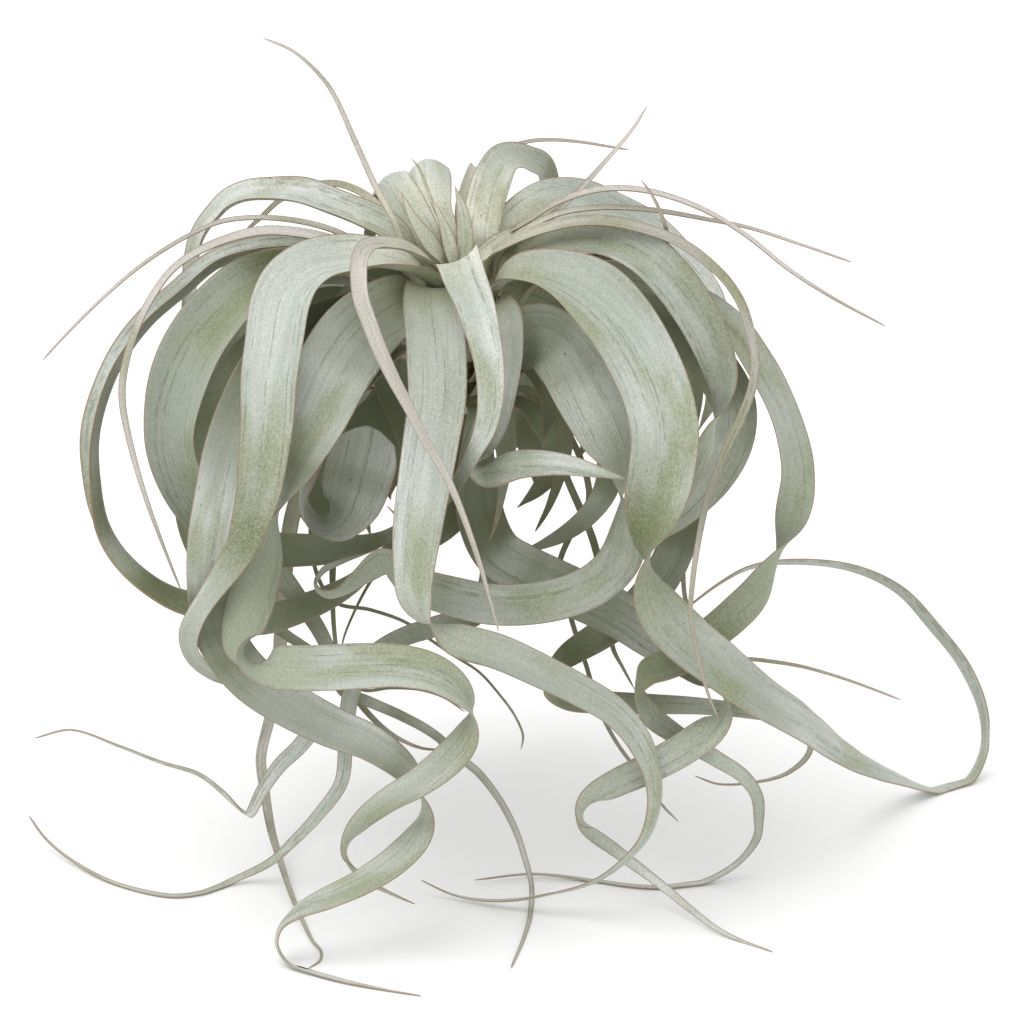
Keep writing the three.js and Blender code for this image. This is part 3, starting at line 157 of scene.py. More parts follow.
LEAVES = {
    "left_thread_high": blade(-27, [3.5, 4, 3.2, 2.2, 1.2], [0.3, 0.3], [
        [-26, 0, 4], [-35, 4, 8], [-46, 7, 14, -50], [-62, 14, 18], [-77, 18, 20], [-97, 20, 20],
        [-117, 18, 20, -50], [-137, 9, 20], [-157, -4, 18], [-177, -21, 15], [-197, -41, 10],
        [-206, -51, 5, -50]]),
    "left_thread_low": blade(-35, [6, 7, 6.5, 5, 4.5, 3, 1.2], [0.3, 0.3], [
        [-28, -6, 8], [-40, -1, 18], [-51, 4, 26, -50], [-60, 8, 30], [-77, 12, 33], [-97, 13, 34],
        [-122, 6, 33, -50], [-140, -5, 29], [-152, -21, 28], [-160, -38, 28], [-165, -56, 28],
        [-166, -71, 27, -40], [-162, -93, 24], [-154, -121, 20], [-143, -151, 14], [-137, -166, 10, -40]]),
    "left_outer_arch": blade(-46, [10, 14, 14, 14, 15, 16, 15, 5], [0.4, 0.5, 0.5, 0.45, 0.2, 0.1], [
        [-36, -6, -6], [-62, 4, 1, -65], [-82, 6, -1], [-102, 4, -2, -65], [-120, -2, -2], [-137, -16, 0],
        [-155, -32, -3, -65], [-171, -55, -6], [-181, -86, -8, -68], [-181, -111, -10, -76],
        [-176, -135, -12, -95], [-162, -154, -14, -115], [-142, -168, -18, -135], [-120, -175, -22, -150],
        [-101, -181, -26, -160], [-77, -175, -30, -165], [-52, -163, -34], [-35, -147, -38],
        [-27, -138, -40, -170]]),
    "left_inner_arch": blade(-52, [8, 19, 33, 33, 26, 20, 16, 5], [0.35, 0.3, 0.2, 0.1], [
        [-34, -15, 8], [-52, -9, 15, -70], [-70, -7, 23], [-86, -8, 31, -55], [-100, -13, 36],
        [-113, -24, 36, -35], [-125, -38, 36], [-134, -54, 34, -25], [-140, -72, 30], [-142, -91, 24, -20],
        [-138, -108, 18], [-129, -125, 10], [-115, -137, 2, -10], [-95, -145, -4], [-75, -146, -8, 0],
        [-55, -145, -12], [-36, -140, -16], [-22, -131, -20, 0]]),
    "left_front_blade": blade(-33, [10, 24, 29, 29, 27, 23, 17, 13, 11, 10, 8, 5, 3, 2, 1.2],
        [0.3, 0.2, 0.1, 0.1, 0.15, 0.2], [
        [-9, -15, 20], [-17, -6, 26], [-30, -1, 33, -70], [-44, 1, 38], [-57, 0, 42, -50], [-70, -3, 47],
        [-81, -11, 55, -25], [-87, -23, 62], [-90, -41, 70, -10], [-93, -61, 76], [-94, -81, 78, 0],
        [-96, -101, 78], [-98, -116, 76, -10], [-102, -131, 73], [-107, -145, 70, -30], [-115, -158, 66],
        [-124, -171, 64, -45], [-130, -181, 61], [-133, -191, 54, -45], [-128, -202, 40],
        [-118, -208, 35, -45], [-107, -211, 28], [-92, -219, 20, -30], [-78, -225, 12], [-71, -233, 2, 0],
        [-77, -243, -5], [-88, -254, -9, 10], [-97, -267, -12], [-103, -278, -16, 40], [-107, -276, -22],
        [-116, -267, -28, 60], [-128, -258, -34], [-147, -252, -40], [-168, -244, -46], [-192, -236, -54],
        [-210, -240, -60, 60]]),
    "left_under_blade": blade(-60, [12, 27, 30, 30, 29, 27, 24, 23, 20, 17, 15, 12, 9, 5, 1.2],
        [0.2, 0.1, 0.1, 0.1], [
        [-35, -30, 18], [-55, -34, 33, -20], [-75, -42, 44], [-92, -56, 50, -10], [-103, -76, 51],
        [-111, -98, 53, -10], [-116, -121, 57], [-120, -143, 56, -10], [-121, -166, 51],
        [-119, -185, 50, 0], [-111, -200, 49], [-100, -212, 50, 0], [-82, -224, 51], [-61, -235, 55, 10],
        [-42, -243, 58], [-26, -255, 58, 40], [-17, -267, 56, 80], [-15, -277, 55, 110],
        [-19, -289, 58, 150], [-30, -301, 62, 170], [-45, -311, 63], [-62, -319, 60, 160],
        [-78, -326, 57, 130], [-87, -334, 54, 100], [-89, -343, 52, 90], [-85, -351, 52, 86],
        [-77, -356, FLOOR, 78], [-55, -362, FLOOR, 72], [-35, -366, FLOOR], [-17, -369, FLOOR, 72]]),
    "front_left_blade": blade(-46, [8, 28, 38, 35, 28, 23, 22, 22, 19, 17, 12, 7, 1.2],
        [0.15, 0.1, 0.05, 0.1], [
        [-20, -21, 25], [-37, -28, 37, 0], [-51, -41, 50], [-62, -58, 61, 0], [-71, -78, 65],
        [-80, -98, 65, -30], [-87, -116, 62, -65], [-91, -131, 58, -100], [-96, -151, 58, -150],
        [-102, -171, 61, -180], [-107, -191, 68, -215], [-102, -203, 77, -290], [-87, -205, 84, -345],
        [-67, -205, 90, -360], [-47, -204, 94], [-27, -204, 95, -360], [-10, -208, 93, -340],
        [3, -217, 89, -310], [9, -227, 86, -270], [5, -240, 83, -220], [-5, -252, 82, -190],
        [-18, -262, 81, -180], [-35, -272, 76, -180], [-48, -283, 67, -160], [-55, -296, 56, -110],
        [-51, -305, 47, -70], [-41, -313, 43, -50], [-27, -320, 42], [-20, -323, 42, -50]]),
    "front_ribbon": blade(-18, [7, 9.5, 9, 8, 7, 5, 3.5, 2.5, 1.2], [0.3, 0.3], [
        [-8, -5, 22], [-12, -2, 32], [-20, 3, 40], [-27, 6, 46, -60], [-36, 7, 52], [-43, 6, 60, -35],
        [-47, 1, 68], [-48, -8, 76, -10], [-47, -20, 82], [-43, -32, 88], [-38, -45, 93, 0], [-31, -60, 99],
        [-23, -75, 105], [-15, -91, 110, 0], [-6, -106, 115], [1, -121, 119], [7, -137, 121],
        [13, -155, 120], [18, -173, 117], [22, -187, 113, 0]]),
    "front_centre_blade": blade(-40, [8, 26, 29, 27, 24, 18, 17, 15, 12, 9, 7, 5, 1.2],
        [0.15, 0.1, 0.1, 0.1], [
        [-11, -14, 28], [-12, -23, 44, 0], [-10, -37, 58], [-9, -53, 71, 0], [-9, -71, 81],
        [-12, -91, 88, 0], [-15, -111, 92], [-18, -131, 93, -10], [-20, -151, 92], [-20, -168, 89, -30],
        [-15, -181, 86, -75], [-7, -187, 84, -120], [5, -192, 83, -165], [22, -197, 82, -180],
        [42, -206, 79], [62, -216, 74, -180], [80, -227, 67], [92, -241, 60, -165], [99, -258, 54, -140],
        [100, -273, 42], [95, -290, 30, -120], [82, -304, 19], [67, -313, 8, -100], [47, -318, -1],
        [30, -321, -8, -80], [12, -321, -17], [-2, -318, -22], [-17, -311, -24, -70]]),
    "front_hook": blade(-26, [10, 24, 22, 19, 15, 12, 9, 6, 1.2], [0.2, 0.15, 0.15, 0.2], [
        [0, -12, 20], [1, -1, 35], [2, -1, 48, 0], [5, -10, 59], [10, -23, 71, 0], [14, -38, 80],
        [17, -53, 87, 0], [18, -68, 91], [16, -83, 90, -20], [10, -97, 85, -40], [4, -108, 78],
        [-3, -119, 70, -40], [-14, -128, 63], [-27, -130, 57, -60], [-34, -124, 54, -60]]),
    "front_spear": blade(-49, [10, 20, 20, 18, 17, 16, 14, 9, 1.2], [0.3, 0.2, 0.2, 0.2], [
        [16, -23, 28], [20, -25, 40], [24, -31, 50, 0], [25, -46, 58], [22, -66, 62, 0], [18, -83, 62],
        [12, -96, 62, -30], [9, -105, 64, -90], [17, -107, 68, -150], [32, -103, 72, -170],
        [52, -103, 78, -180], [72, -107, 80], [90, -112, 80, -180]]),
    "right_front_blade": blade(-42, [8, 18, 34, 33, 29, 25, 20, 17, 14, 12, 10, 9, 7, 5, 3, 1.2],
        [0.4, 0.15, 0.05, 0.1, 0.15], [
        [20, -14, 25], [28, -7, 36, 62], [40, -6, 48], [53, -9, 58, 35], [67, -17, 66], [81, -31, 73, 10],
        [92, -48, 79], [101, -68, 83, 0], [105, -88, 85], [103, -108, 85, 0], [99, -128, 82, -30],
        [95, -146, 79, -75], [97, -163, 76, -120], [105, -178, 74, -155], [117, -191, 72, -170],
        [132, -203, 67, -175], [150, -217, 48, -170], [172, -231, 10, -160], [197, -249, -55],
        [222, -260, -130, -120], [242, -266, FLOOR, -108], [256, -262, FLOOR], [264, -247, -176, -120],
        [264, -228, -172], [255, -205, -160, -140], [239, -184, -147], [222, -166, -127, -150],
        [198, -155, -107], [167, -152, -86, -150], [147, -155, -73], [132, -163, -62],
        [112, -178, -52, -150]]),
    "right_under_blade": blade(-60, [12, 26, 32, 34, 30, 24, 21, 20.5, 20, 17, 11, 7, 1.2],
        [0.3, 0.1, 0.05, 0.1], [
        [22, -44, 23], [34, -40, 35, 0], [47, -40, 48], [59, -53, 57, 0], [68, -71, 61], [76, -88, 63, 20],
        [82, -103, 64, 50], [84, -118, 62, 85], [86, -133, 58, 130], [83, -149, 54, 165],
        [73, -161, 52, 180], [57, -169, 52], [37, -173, 52, 180], [17, -173, 52], [-2, -169, 51, 180],
        [-20, -163, 46], [-35, -152, 38, 200], [-46, -159, 30], [-57, -167, 24, 240], [-66, -168, 18],
        [-70, -163, 14, 270], [-66, -156, 10], [-55, -151, 6, 330], [-42, -147, 4, 350]]),
    "right_shoulder_blade": blade(-37, [10, 14, 20, 22, 22, 20, 14, 8, 1.5], [0.4, 0.2, 0.1, 0.1, 0.15], [
        [23, -6, 10], [33, 3, 19, 60], [46, 9, 27], [62, 11, 34, 40], [80, 9, 40], [95, 2, 44, 15],
        [106, -8, 47], [117, -22, 48, 0], [126, -38, 48], [133, -57, 46, -20], [133, -73, 43, -60],
        [129, -83, 41, -100], [124, -98, 38, -150], [117, -113, 36, -180], [110, -128, 34],
        [102, -143, 32, -180]]),
    "right_long_thread": blade(-17, [4.5, 4.5, 4, 3.2, 2.4, 1.2], [0.3, 0.3], [
        [16, 5, 0], [23, 11, 8], [37, 19, 18, 50], [52, 28, 25], [72, 34, 31], [92, 34, 36, 50],
        [112, 29, 40], [130, 21, 43], [147, 10, 43], [167, -6, 41], [187, -19, 38], [215, -34, 32, 50]]),
    "right_short_thread": blade(-22, [4, 4, 3.6, 3, 2, 1.2], [0.3, 0.3], [
        [21, 2, 4], [27, 9, 12], [35, 14, 19, 50], [52, 22, 26], [72, 25, 30], [97, 24, 33, 50],
        [127, 19, 35], [147, 15, 35], [172, 7, 34], [198, -2, 32, 50]]),
    "right_tail_ribbon": blade(-31, [5, 7.5, 7, 6, 5, 4.5, 4, 3, 2.2, 1.2], [0.3, 0.3], [
        [17, 0, 15], [25, 6, 20], [35, 11, 27, 50], [47, 15, 33], [62, 18, 38], [77, 18, 42, 40],
        [92, 15, 44], [107, 10, 46], [118, 4, 50, 30], [127, -3, 54], [136, -12, 58], [143, -23, 61, 20],
        [147, -35, 63], [150, -48, 64], [149, -63, 65, 0], [144, -78, 67], [138, -91, 70], [132, -105, 74],
        [126, -122, 79], [122, -141, 83, -20], [119, -161, 85], [118, -178, 86], [121, -196, 86],
        [126, -216, 85], [132, -231, 82, -20]]),
    "right_outer_arch": blade(-56, [8, 14, 16, 17, 18, 18, 18, 17, 14, 9, 7, 6, 5, 3, 1.2],
        [0.3, 0.15, 0.1, 0.1, 0.15], [
        [42, -10, 12], [67, -8, 16], [92, -11, 20, 40], [117, -20, 23], [139, -35, 24, 35], [151, -52, 22],
        [160, -68, 18, 35], [167, -86, 14], [171, -106, 10, 25], [169, -128, 8, -20], [161, -149, 8, -95],
        [151, -167, 14, -150], [139, -179, 24, -175], [127, -189, 35, -180], [117, -198, 44],
        [106, -203, 48, -190], [96, -207, 47, -210], [91, -216, 42, -270], [97, -228, 34, -330],
        [110, -238, 26, -355], [130, -250, 12, -360], [144, -259, -2, -375], [151, -269, -14],
        [152, -281, -26, -400], [151, -290, -34], [141, -303, -43, -420], [122, -313, FLOOR],
        [102, -315, FLOOR, -430], [86, -314, FLOOR], [72, -312, FLOOR, -430], [52, -309, -47],
        [37, -308, -48], [10, -311, -40, -430]]),
    "left_shoulder_blade": blade(-20, [10, 16, 20, 20, 18, 14, 10, 6, 1.5], [0.35, 0.3, 0.3, 0.3], [
        [-20, 0, 0], [-25, 6, 3], [-32, 13, 3, -45], [-45, 20, 0], [-60, 26, -4, -50], [-77, 32, -8],
        [-92, 33, -12, -55], [-105, 32, -15], [-114, 28, -18, -60], [-120, 22, -20], [-125, 16, -22, -60],
        [-129, 8, -24], [-131, -2, -26], [-132, -15, -28, -40], [-133, -30, -30], [-132, -45, -32],
        [-130, -68, -32, -30]]),
    "left_shoulder_thread": blade(-32, [5, 5.5, 5, 4.5, 3.5, 1.2], [0.3, 0.3], [
        [-22, -4, -8], [-27, 9, -12], [-35, 22, -17, -40], [-42, 29, -21], [-50, 34, -25],
        [-60, 37, -29, -50], [-71, 36, -31], [-87, 29, -37], [-96, 21, -41, -50], [-105, 12, -45],
        [-110, -1, -47, -50]]),
    "back_left_blade": blade(-38, [7, 10, 15, 18, 18, 16, 10, 2], [0.3, 0.1, -0.2, -0.1, 0.1], [
        [-14, 9, -10, 0], [-22, 24, -17], [-28, 34, -26, 0], [-32, 39, -37], [-36, 37, -50], [-40, 26, -64],
        [-43, 9, -74], [-45, -16, -82]]),
    "back_middle_blade": blade(-24, [8, 11, 18, 22, 22, 20, 13, 2], [0.3, 0.1, -0.3, -0.1, 0.1], [
        [-5, 12, -15, 0], [-10, 23, -20], [-12, 34, -28, 0], [-13, 43, -38], [-14, 46, -52], [-13, 42, -68],
        [-12, 26, -84], [-12, 4, -95], [-12, -14, -100]]),
    "back_left_spike": blade(-18, [4, 3.5, 3, 2.2, 1.2], [0.3, 0.3], [
        [-15, -2, 9], [-25, 6, 12], [-31, 19, 13, -20], [-40, 36, 11], [-49, 56, 9], [-62, 84, 6],
        [-72, 96, 4], [-82, 104, 2], [-96, 110, 0, -20]]),
    "back_middle_spike": blade(-16, [3, 2.5, 2, 1.2], [0.3, 0.3], [
        [0, 5, -13], [-5, 15, -1, 0], [-11, 27, 3], [-14, 35, -2], [-18, 45, -6], [-22, 50, -9, 0]]),
    "back_right_arch": blade(-32, [8, 13, 19, 20, 17, 14, 12, 8, 2], [0.3, 0.2, 0.15, 0.1], [
        [13, 11, -13, 5], [15, 26, -18], [19, 40, -27, 5], [24, 49, -38], [31, 51, -48], [38, 49, -57, 25],
        [43, 47, -64], [46, 42, -72, 35], [48, 31, -80], [49, 14, -85, 20], [49, -4, -88]]),
    "back_right_narrow": blade(-44, [5, 7, 7, 6, 5, 4, 1.5], [0.3, 0.3], [
        [3, 13, -23, 0], [3, 26, -27], [5, 34, -32, 0], [8, 43, -40], [10, 46, -48], [11, 43, -54],
        [12, 33, -64], [12, 18, -70]]),
    "back_thread": blade(-46, [4, 3.5, 3, 2.2, 1.2], [0.3, 0.3], [
        [12, -2, -24], [19, 11, -30], [22, 29, -40], [24, 45, -52], [28, 55, -58, 30], [36, 58, -61],
        [47, 59, -64], [62, 58, -67], [75, 56, -69], [87, 54, -71, 30]]),
    "back_right_blade": blade(-40, [10, 20, 28, 30, 28, 24, 20, 14, 2], [0.3, 0.15, 0.1, 0.1], [
        [27, 8, -14, 25], [37, 20, -23], [50, 27, -32, 35], [65, 26, -38], [80, 20, -45, 35], [95, 12, -49],
        [106, 3, -50, 30], [117, -9, -49], [125, -21, -46], [130, -41, -42, 20], [130, -66, -37],
        [122, -86, -33, 10]]),
    "back_right_spike": blade(-30, [4, 4.5, 4, 3, 2, 1.2], [0.3, 0.3], [
        [22, -4, -2], [32, 9, 4], [45, 18, 8, 20], [57, 29, 8], [67, 39, 6], [75, 48, 3], [82, 56, 0],
        [90, 66, -4], [96, 76, -8, 20]]),
    "right_spike": blade(-50, [4, 5, 4.5, 3.5, 2.5, 1.2], [0.3, 0.3], [
        [30, -4, 10], [62, 0, 24], [85, 0, 28], [98, 0, 33, 30], [105, 5, 37], [106, 12, 41, 20],
        [104, 20, 44], [101, 27, 46], [97, 34, 47], [93, 39, 47, 20]]),
    "right_inner_blade": blade(-58, [10, 20, 25, 26, 24, 20, 12, 2], [0.2, 0.1, 0.1, 0.1], [
        [45, -22, -6], [72, -22, 8, 40], [95, -28, 11], [115, -40, 12, 30], [130, -56, 11],
        [139, -73, 8, 20], [139, -91, 6], [130, -110, 6, 15], [117, -125, 8], [105, -135, 11, 10],
        [92, -145, 13], [80, -155, 14, 0]]),
    "right_low_blade": blade(-74, [8, 16, 18, 19, 19, 16, 13, 11, 8, 5, 3, 1.2], [0.2, 0.1, 0.1, 0.1], [
        [45, -48, -12], [72, -56, -14, 20], [97, -71, -12], [110, -96, -11, 10], [115, -121, -9],
        [111, -143, -6, 0], [101, -163, -4], [87, -178, -3, 0], [72, -189, -3], [58, -198, -4, -30],
        [48, -206, -7, -70], [46, -214, -12, -110], [55, -220, -17, -150], [72, -222, -20, -180],
        [97, -223, -22], [122, -224, -26, -180], [147, -227, -32], [167, -232, -42, -200], [177, -240, -54],
        [176, -249, -64, -220], [165, -258, -70], [150, -262, -72, -240], [132, -263, -70],
        [120, -259, -66, -240]]),
    "front_inner_loop": blade(-70, [8, 11, 14, 18, 21, 22, 23, 24, 25, 27, 34, 35, 25],
        [0.3, 0.2, 0.15, 0.1, 0.1], [
        [-18, -46, 20], [-33, -49, 30, 100], [-45, -61, 36], [-56, -75, 38, 100], [-66, -92, 34],
        [-73, -107, 29, 100], [-76, -119, 26, 90], [-74, -129, 24], [-67, -135, 24, 68],
        [-58, -132, 26, 45], [-52, -121, 30, 22], [-48, -107, 32, 6], [-45, -95, 32, 0],
        [-43, -84, 34, 0]]),
    "low_left_ribbon": blade(-75, [6, 12, 13, 13, 12, 8, 6, 5, 4, 3, 2.2, 1.2], [0.2, 0.1, 0.2, 0.3], [
        [-40, -42, -12], [-75, -75, -30, -30], [-93, -110, -45], [-97, -140, -52, -20], [-88, -157, -55],
        [-78, -171, -55, 0], [-68, -186, -52], [-61, -201, -46], [-56, -216, -38, 0], [-43, -222, -30],
        [-27, -229, -24, 20], [-11, -238, -18], [5, -252, -14], [12, -258, -14, 30], [22, -271, -16],
        [30, -286, -20], [35, -301, -24, 30], [38, -313, -26], [38, -323, FLOOR], [37, -331, FLOOR],
        [34, -341, FLOOR, 20], [28, -355, FLOOR, 20]]),
    "low_left_dark": blade(-80, [5, 9, 10, 10, 9, 6, 4.5, 3, 1.2], [0.2, 0.15, 0.2], [
        [-42, -56, -28], [-80, -100, -62, -20], [-100, -150, -74], [-98, -178, -74, 0], [-85, -188, -70],
        [-70, -198, -62, 0], [-55, -211, -52], [-45, -226, -44, 10], [-32, -238, -38], [-17, -245, -34],
        [-5, -246, -32, 10]]),
    "low_left_tail": blade(-64, [6, 12, 12.5, 12, 10, 9, 7, 5, 4, 3, 2, 1.2], [0.2, 0.1, 0.2, 0.3], [
        [10, -60, -48], [12, -95, -60, 0], [15, -130, -63], [18, -160, -58, 0], [10, -178, -50],
        [-9, -184, -44, 0], [-27, -190, -38], [-40, -198, -32], [-50, -212, -26, 10], [-54, -228, -20],
        [-55, -245, -17, 20], [-57, -262, -17], [-68, -278, -23, 0], [-80, -291, -31],
        [-92, -302, -38, -30], [-110, -311, -42], [-127, -318, FLOOR, -60], [-140, -319.5, FLOOR],
        [-152, -318, FLOOR, -60], [-172, -312, -43], [-192, -301, -64, -60], [-205, -290, -82],
        [-213, -279, -98, -60]]),
    "low_thin_tail": blade(-70, [5, 6, 6, 6, 4, 2.5, 2, 1.5, 1.2], [0.2, 0.2], [
        [-34, -62, -50], [-56, -105, -80, 0], [-61, -151, -88], [-60, -190, -86, 0], [-56, -208, -80],
        [-46, -216, -73, 0], [-32, -215, -67], [-17, -216, -63], [-5, -220, -61], [5, -227, -59, 0]]),
    "left_foot_tail": blade(-64, [4, 8, 9, 9, 8, 6, 5, 3, 2, 1.2], [0.2, 0.2], [
        [-36, -50, -44], [-62, -85, -88, -20], [-80, -125, -108], [-85, -160, -112, -20], [-87, -190, -108],
        [-89, -215, -100, -20], [-93, -232, -92], [-97, -250, -84, 0], [-95, -268, -76], [-92, -286, -66],
        [-87, -303, -50, 20], [-82, -318, -26], [-76, -332, 5], [-71, -342, FLOOR, 20], [-67, -347, FLOOR],
        [-68, -352, FLOOR], [-73, -355, FLOOR, 20]]),
    "right_front_tail": blade(-76, [8, 16, 24, 25, 24, 20, 17, 16, 13, 8, 5, 3, 1.2],
        [0.2, 0.1, 0.1, 0.15], [
        [10, -74, 8], [11, -92, 2, 0], [11, -112, 0], [14, -133, 7, 0], [22, -148, 14], [35, -156, 19, 0],
        [52, -164, 22], [70, -172, 23, 0], [85, -180, 23], [95, -187, 23, 0], [107, -195, 24],
        [120, -203, 27, 10], [131, -212, 31, 40], [136, -223, 37, 90], [129, -234, 42, 150],
        [115, -245, 43, 180], [97, -255, 40], [80, -263, 36, 190], [68, -270, 29, 220], [63, -279, 18, 270],
        [67, -286, 8, 320], [80, -296, -5, 350], [92, -305, -8], [105, -315, -6, 360], [117, -325, 3],
        [132, -336, 17, 360], [147, -343, FLOOR], [159, -347, FLOOR, 360]]),
    "inner_vertical": blade(-67, [6, 11, 12, 12, 11, 6, 3, 1.2], [0.2, 0.15], [
        [20, -54, 12], [23, -70, 20, 10], [25, -90, 20], [25, -106, 19, 0], [23, -121, 17],
        [20, -134, 15, 0], [17, -142, 15, 0]]),
    "inner_dark_band": blade(-74, [8, 16, 24, 24, 20, 12, 2], [0.15, 0.1], [
        [8, -72, -44], [8, -90, -46, 0], [6, -108, -44], [0, -123, -42, 0], [-10, -136, -38],
        [-22, -145, -34], [-34, -150, -34, 0]]),
    "inner_right_dark": blade(-80, [8, 13, 15, 15, 13, 8, 2], [0.15, 0.1], [
        [30, -72, -28], [42, -80, -35, 20], [50, -91, -41], [50, -103, -44, 10], [42, -115, -44],
        [31, -125, -44, 0]]),
    "inner_right_olive": blade(-70, [5, 8, 9, 9, 8, 5, 2], [0.2, 0.2], [
        [34, -44, 4], [48, -64, -6, 10], [55, -85, -14], [53, -106, -18, 0], [47, -124, -22],
        [40, -137, -20, 0]]),
    "right_inner_ribbon": blade(-64, [8, 14, 16, 16, 15, 12, 8, 2], [0.15, 0.1], [
        [34, -36, 12], [58, -48, 20, 20], [74, -70, 26], [78, -95, 26, 0], [76, -114, 23],
        [68, -127, 17, 0], [56, -137, 9], [42, -144, 2, 0], [30, -148, -4, 0]]),
    "thin_right_strut": blade(-66, [3, 3.5, 3.5, 4, 4, 3, 1.2], [0.2, 0.2], [
        [34, -66, -44], [50, -90, -56, 0], [56, -110, -58], [62, -124, -58], [68, -138, -57, 0],
        [72, -152, -54], [76, -172, -50], [79, -195, -46, 0], [84, -205, -44], [90, -216, -42, 0]]),
    "right_thin_tail": blade(-74, [3, 3.5, 3.5, 3, 2.5, 2, 1.2], [0.2, 0.2], [
        [38, -66, -56], [60, -94, -74, 0], [67, -121, -78], [58, -138, -78], [52, -155, -76, 0],
        [58, -180, -70], [66, -205, -62], [72, -225, -54], [80, -241, -47, 0], [90, -255, -41],
        [104, -274, -35], [112, -282, -32, 0]]),
    "right_side_thread": blade(-62, [3, 3, 2.6, 2.2, 1.2], [0.2, 0.2], [
        [50, -36, -24], [90, -80, -40, 20], [112, -130, -46], [115, -170, -44, 20], [122, -192, -42],
        [132, -199, -42], [152, -201, -44], [172, -204, -46], [187, -208, -48], [202, -213, -50],
        [223, -221, -52, 20]]),
    "curl_thread": blade(-76, [2.5, 2.5, 2.5, 2.2, 1.8, 1.4, 1.2], [0.2, 0.2], [
        [-44, -66, -44], [-70, -115, -76], [-70, -155, -84, 0], [-60, -172, -78], [-42, -176, -70],
        [-25, -182, -62, 0], [-12, -191, -54], [-2, -198, -46], [12, -207, -36], [22, -218, -28, 0],
        [30, -229, -22], [34, -239, -18], [33, -246, -16, 0]]),
    "short_inner_thread": blade(-80, [2.5, 2.5, 2.2, 1.8, 1.2], [0.2, 0.2], [
        [-4, -80, -60], [-20, -130, -90, 0], [-34, -152, -98], [-41, -160, -99, 0], [-48, -172, -98],
        [-55, -188, -97], [-57, -196, -97, 0]]),
    "left_inner_leaf": blade(-68, [8, 14, 18, 18, 16, 10, 2], [0.15, 0.1], [
        [-55, -22, -6], [-92, -38, -14, -20], [-118, -68, -22], [-130, -100, -26, -10], [-136, -125, -27],
        [-134, -143, -27, 0], [-128, -156, -26, 0]]),
    "left_inner_dark": blade(-45, [8, 16, 22, 22, 18, 10, 2], [0.15, 0.1], [
        [-44, -30, -36], [-80, -42, -46, -20], [-102, -60, -54], [-112, -80, -56, 0], [-112, -98, -56],
        [-104, -112, -54, 0], [-92, -122, -52, 0]]),
    "inner_left_curtain": blade(-74, [6, 14, 26, 32, 32, 24, 2], [0.15, 0.1], [
        [-28, -71, -9], [-35, -76, -13, 0], [-39, -86, -17], [-38, -99, -20, 0], [-35, -112, -22],
        [-32, -121, -24, 0]]),
    "inner_right_curtain": blade(-81, [6, 16, 28, 32, 28, 18, 2], [0.15, 0.1], [
        [12, -76, -40], [23, -76, -54, 0], [33, -78, -65], [41, -84, -72, 0], [44, -95, -77],
        [43, -108, -77, 0], [40, -118, -76]]),
}

# Short old leaves and leaf bases that fill the dark inside of the plant, and small pale ones in
# the heart of the crown. They have no solid of their own.
OLD_LEAVES = {
    "old_base_right": blade(-24, [10, 18, 20, 18, 6], [0.2, 0.1], [
        [16, -16, 6], [30, -14, 8, 0], [45, -17, 6], [60, -26, 2, 0], [74, -42, -2]]),
    "old_base_left": blade(-26, [10, 18, 20, 18, 6], [0.2, 0.1], [
        [-16, -14, 8], [-28, -12, 10, 0], [-40, -15, 8], [-52, -24, 4, 0], [-62, -40, 0]]),
    "old_left_window": blade(-70, [8, 20, 26, 26, 22, 10, 2], [0.2, 0.1], [
        [-40, -18, -34], [-74, -16, -52, -30], [-104, -26, -60], [-116, -44, -62, 0], [-118, -64, -62],
        [-112, -82, -60, 0]]),
    "old_left_hanging": blade(-66, [8, 20, 28, 28, 22, 10, 2], [0.2, 0.1], [
        [-16, -28, -2], [-26, -34, 2, 0], [-30, -50, 2], [-29, -68, -2, 0], [-24, -104, -10]]),
    "old_left_under": blade(-72, [8, 18, 24, 22, 16, 2], [0.2, 0.1], [
        [-22, -40, -16], [-44, -46, -14, -20], [-60, -62, -14], [-66, -84, -16, 0], [-66, -108, -20],
        [-68, -130, -26, 0], [-68, -152, -36]]),
    "old_right_hanging": blade(-68, [8, 20, 28, 28, 20, 10, 2], [0.2, 0.1], [
        [18, -38, -8], [34, -40, -14, 0], [45, -54, -18], [48, -72, -22, 0], [44, -92, -26]]),
    "old_right_window": blade(-72, [8, 20, 24, 24, 18, 8, 2], [0.2, 0.1], [
        [48, -10, -22], [80, -12, -32, 30], [104, -26, -36], [118, -48, -36, 0], [121, -70, -34],
        [118, -96, -32, 0]]),
    "heart_leaf_left": blade(-15, [5, 10, 9, 5, 1.5], [0.3, 0.3], [
        [-6, -2, 14], [-13, 8, 16, -15], [-21, 20, 14], [-27, 33, 9, -15]]),
    "heart_leaf_middle": blade(-15, [5, 10, 8, 4, 1.5], [0.3, 0.3], [
        [-1, -2, 15], [-3, 8, 17, 0], [-7, 20, 15], [-12, 30, 11, 0]]),
    "heart_leaf_right": blade(-15, [5, 10, 9, 6, 1.5], [0.3, 0.3], [
        [4, -3, 14], [5, 8, 14, 0], [4, 22, 10], [0, 36, 3, 0]]),
    "heart_leaf_low": blade(-16, [5, 10, 10, 6, 1.5], [0.3, 0.3], [
        [9, -4, 12], [18, 5, 14, 20], [31, 13, 14], [46, 19, 12, 20]]),
}

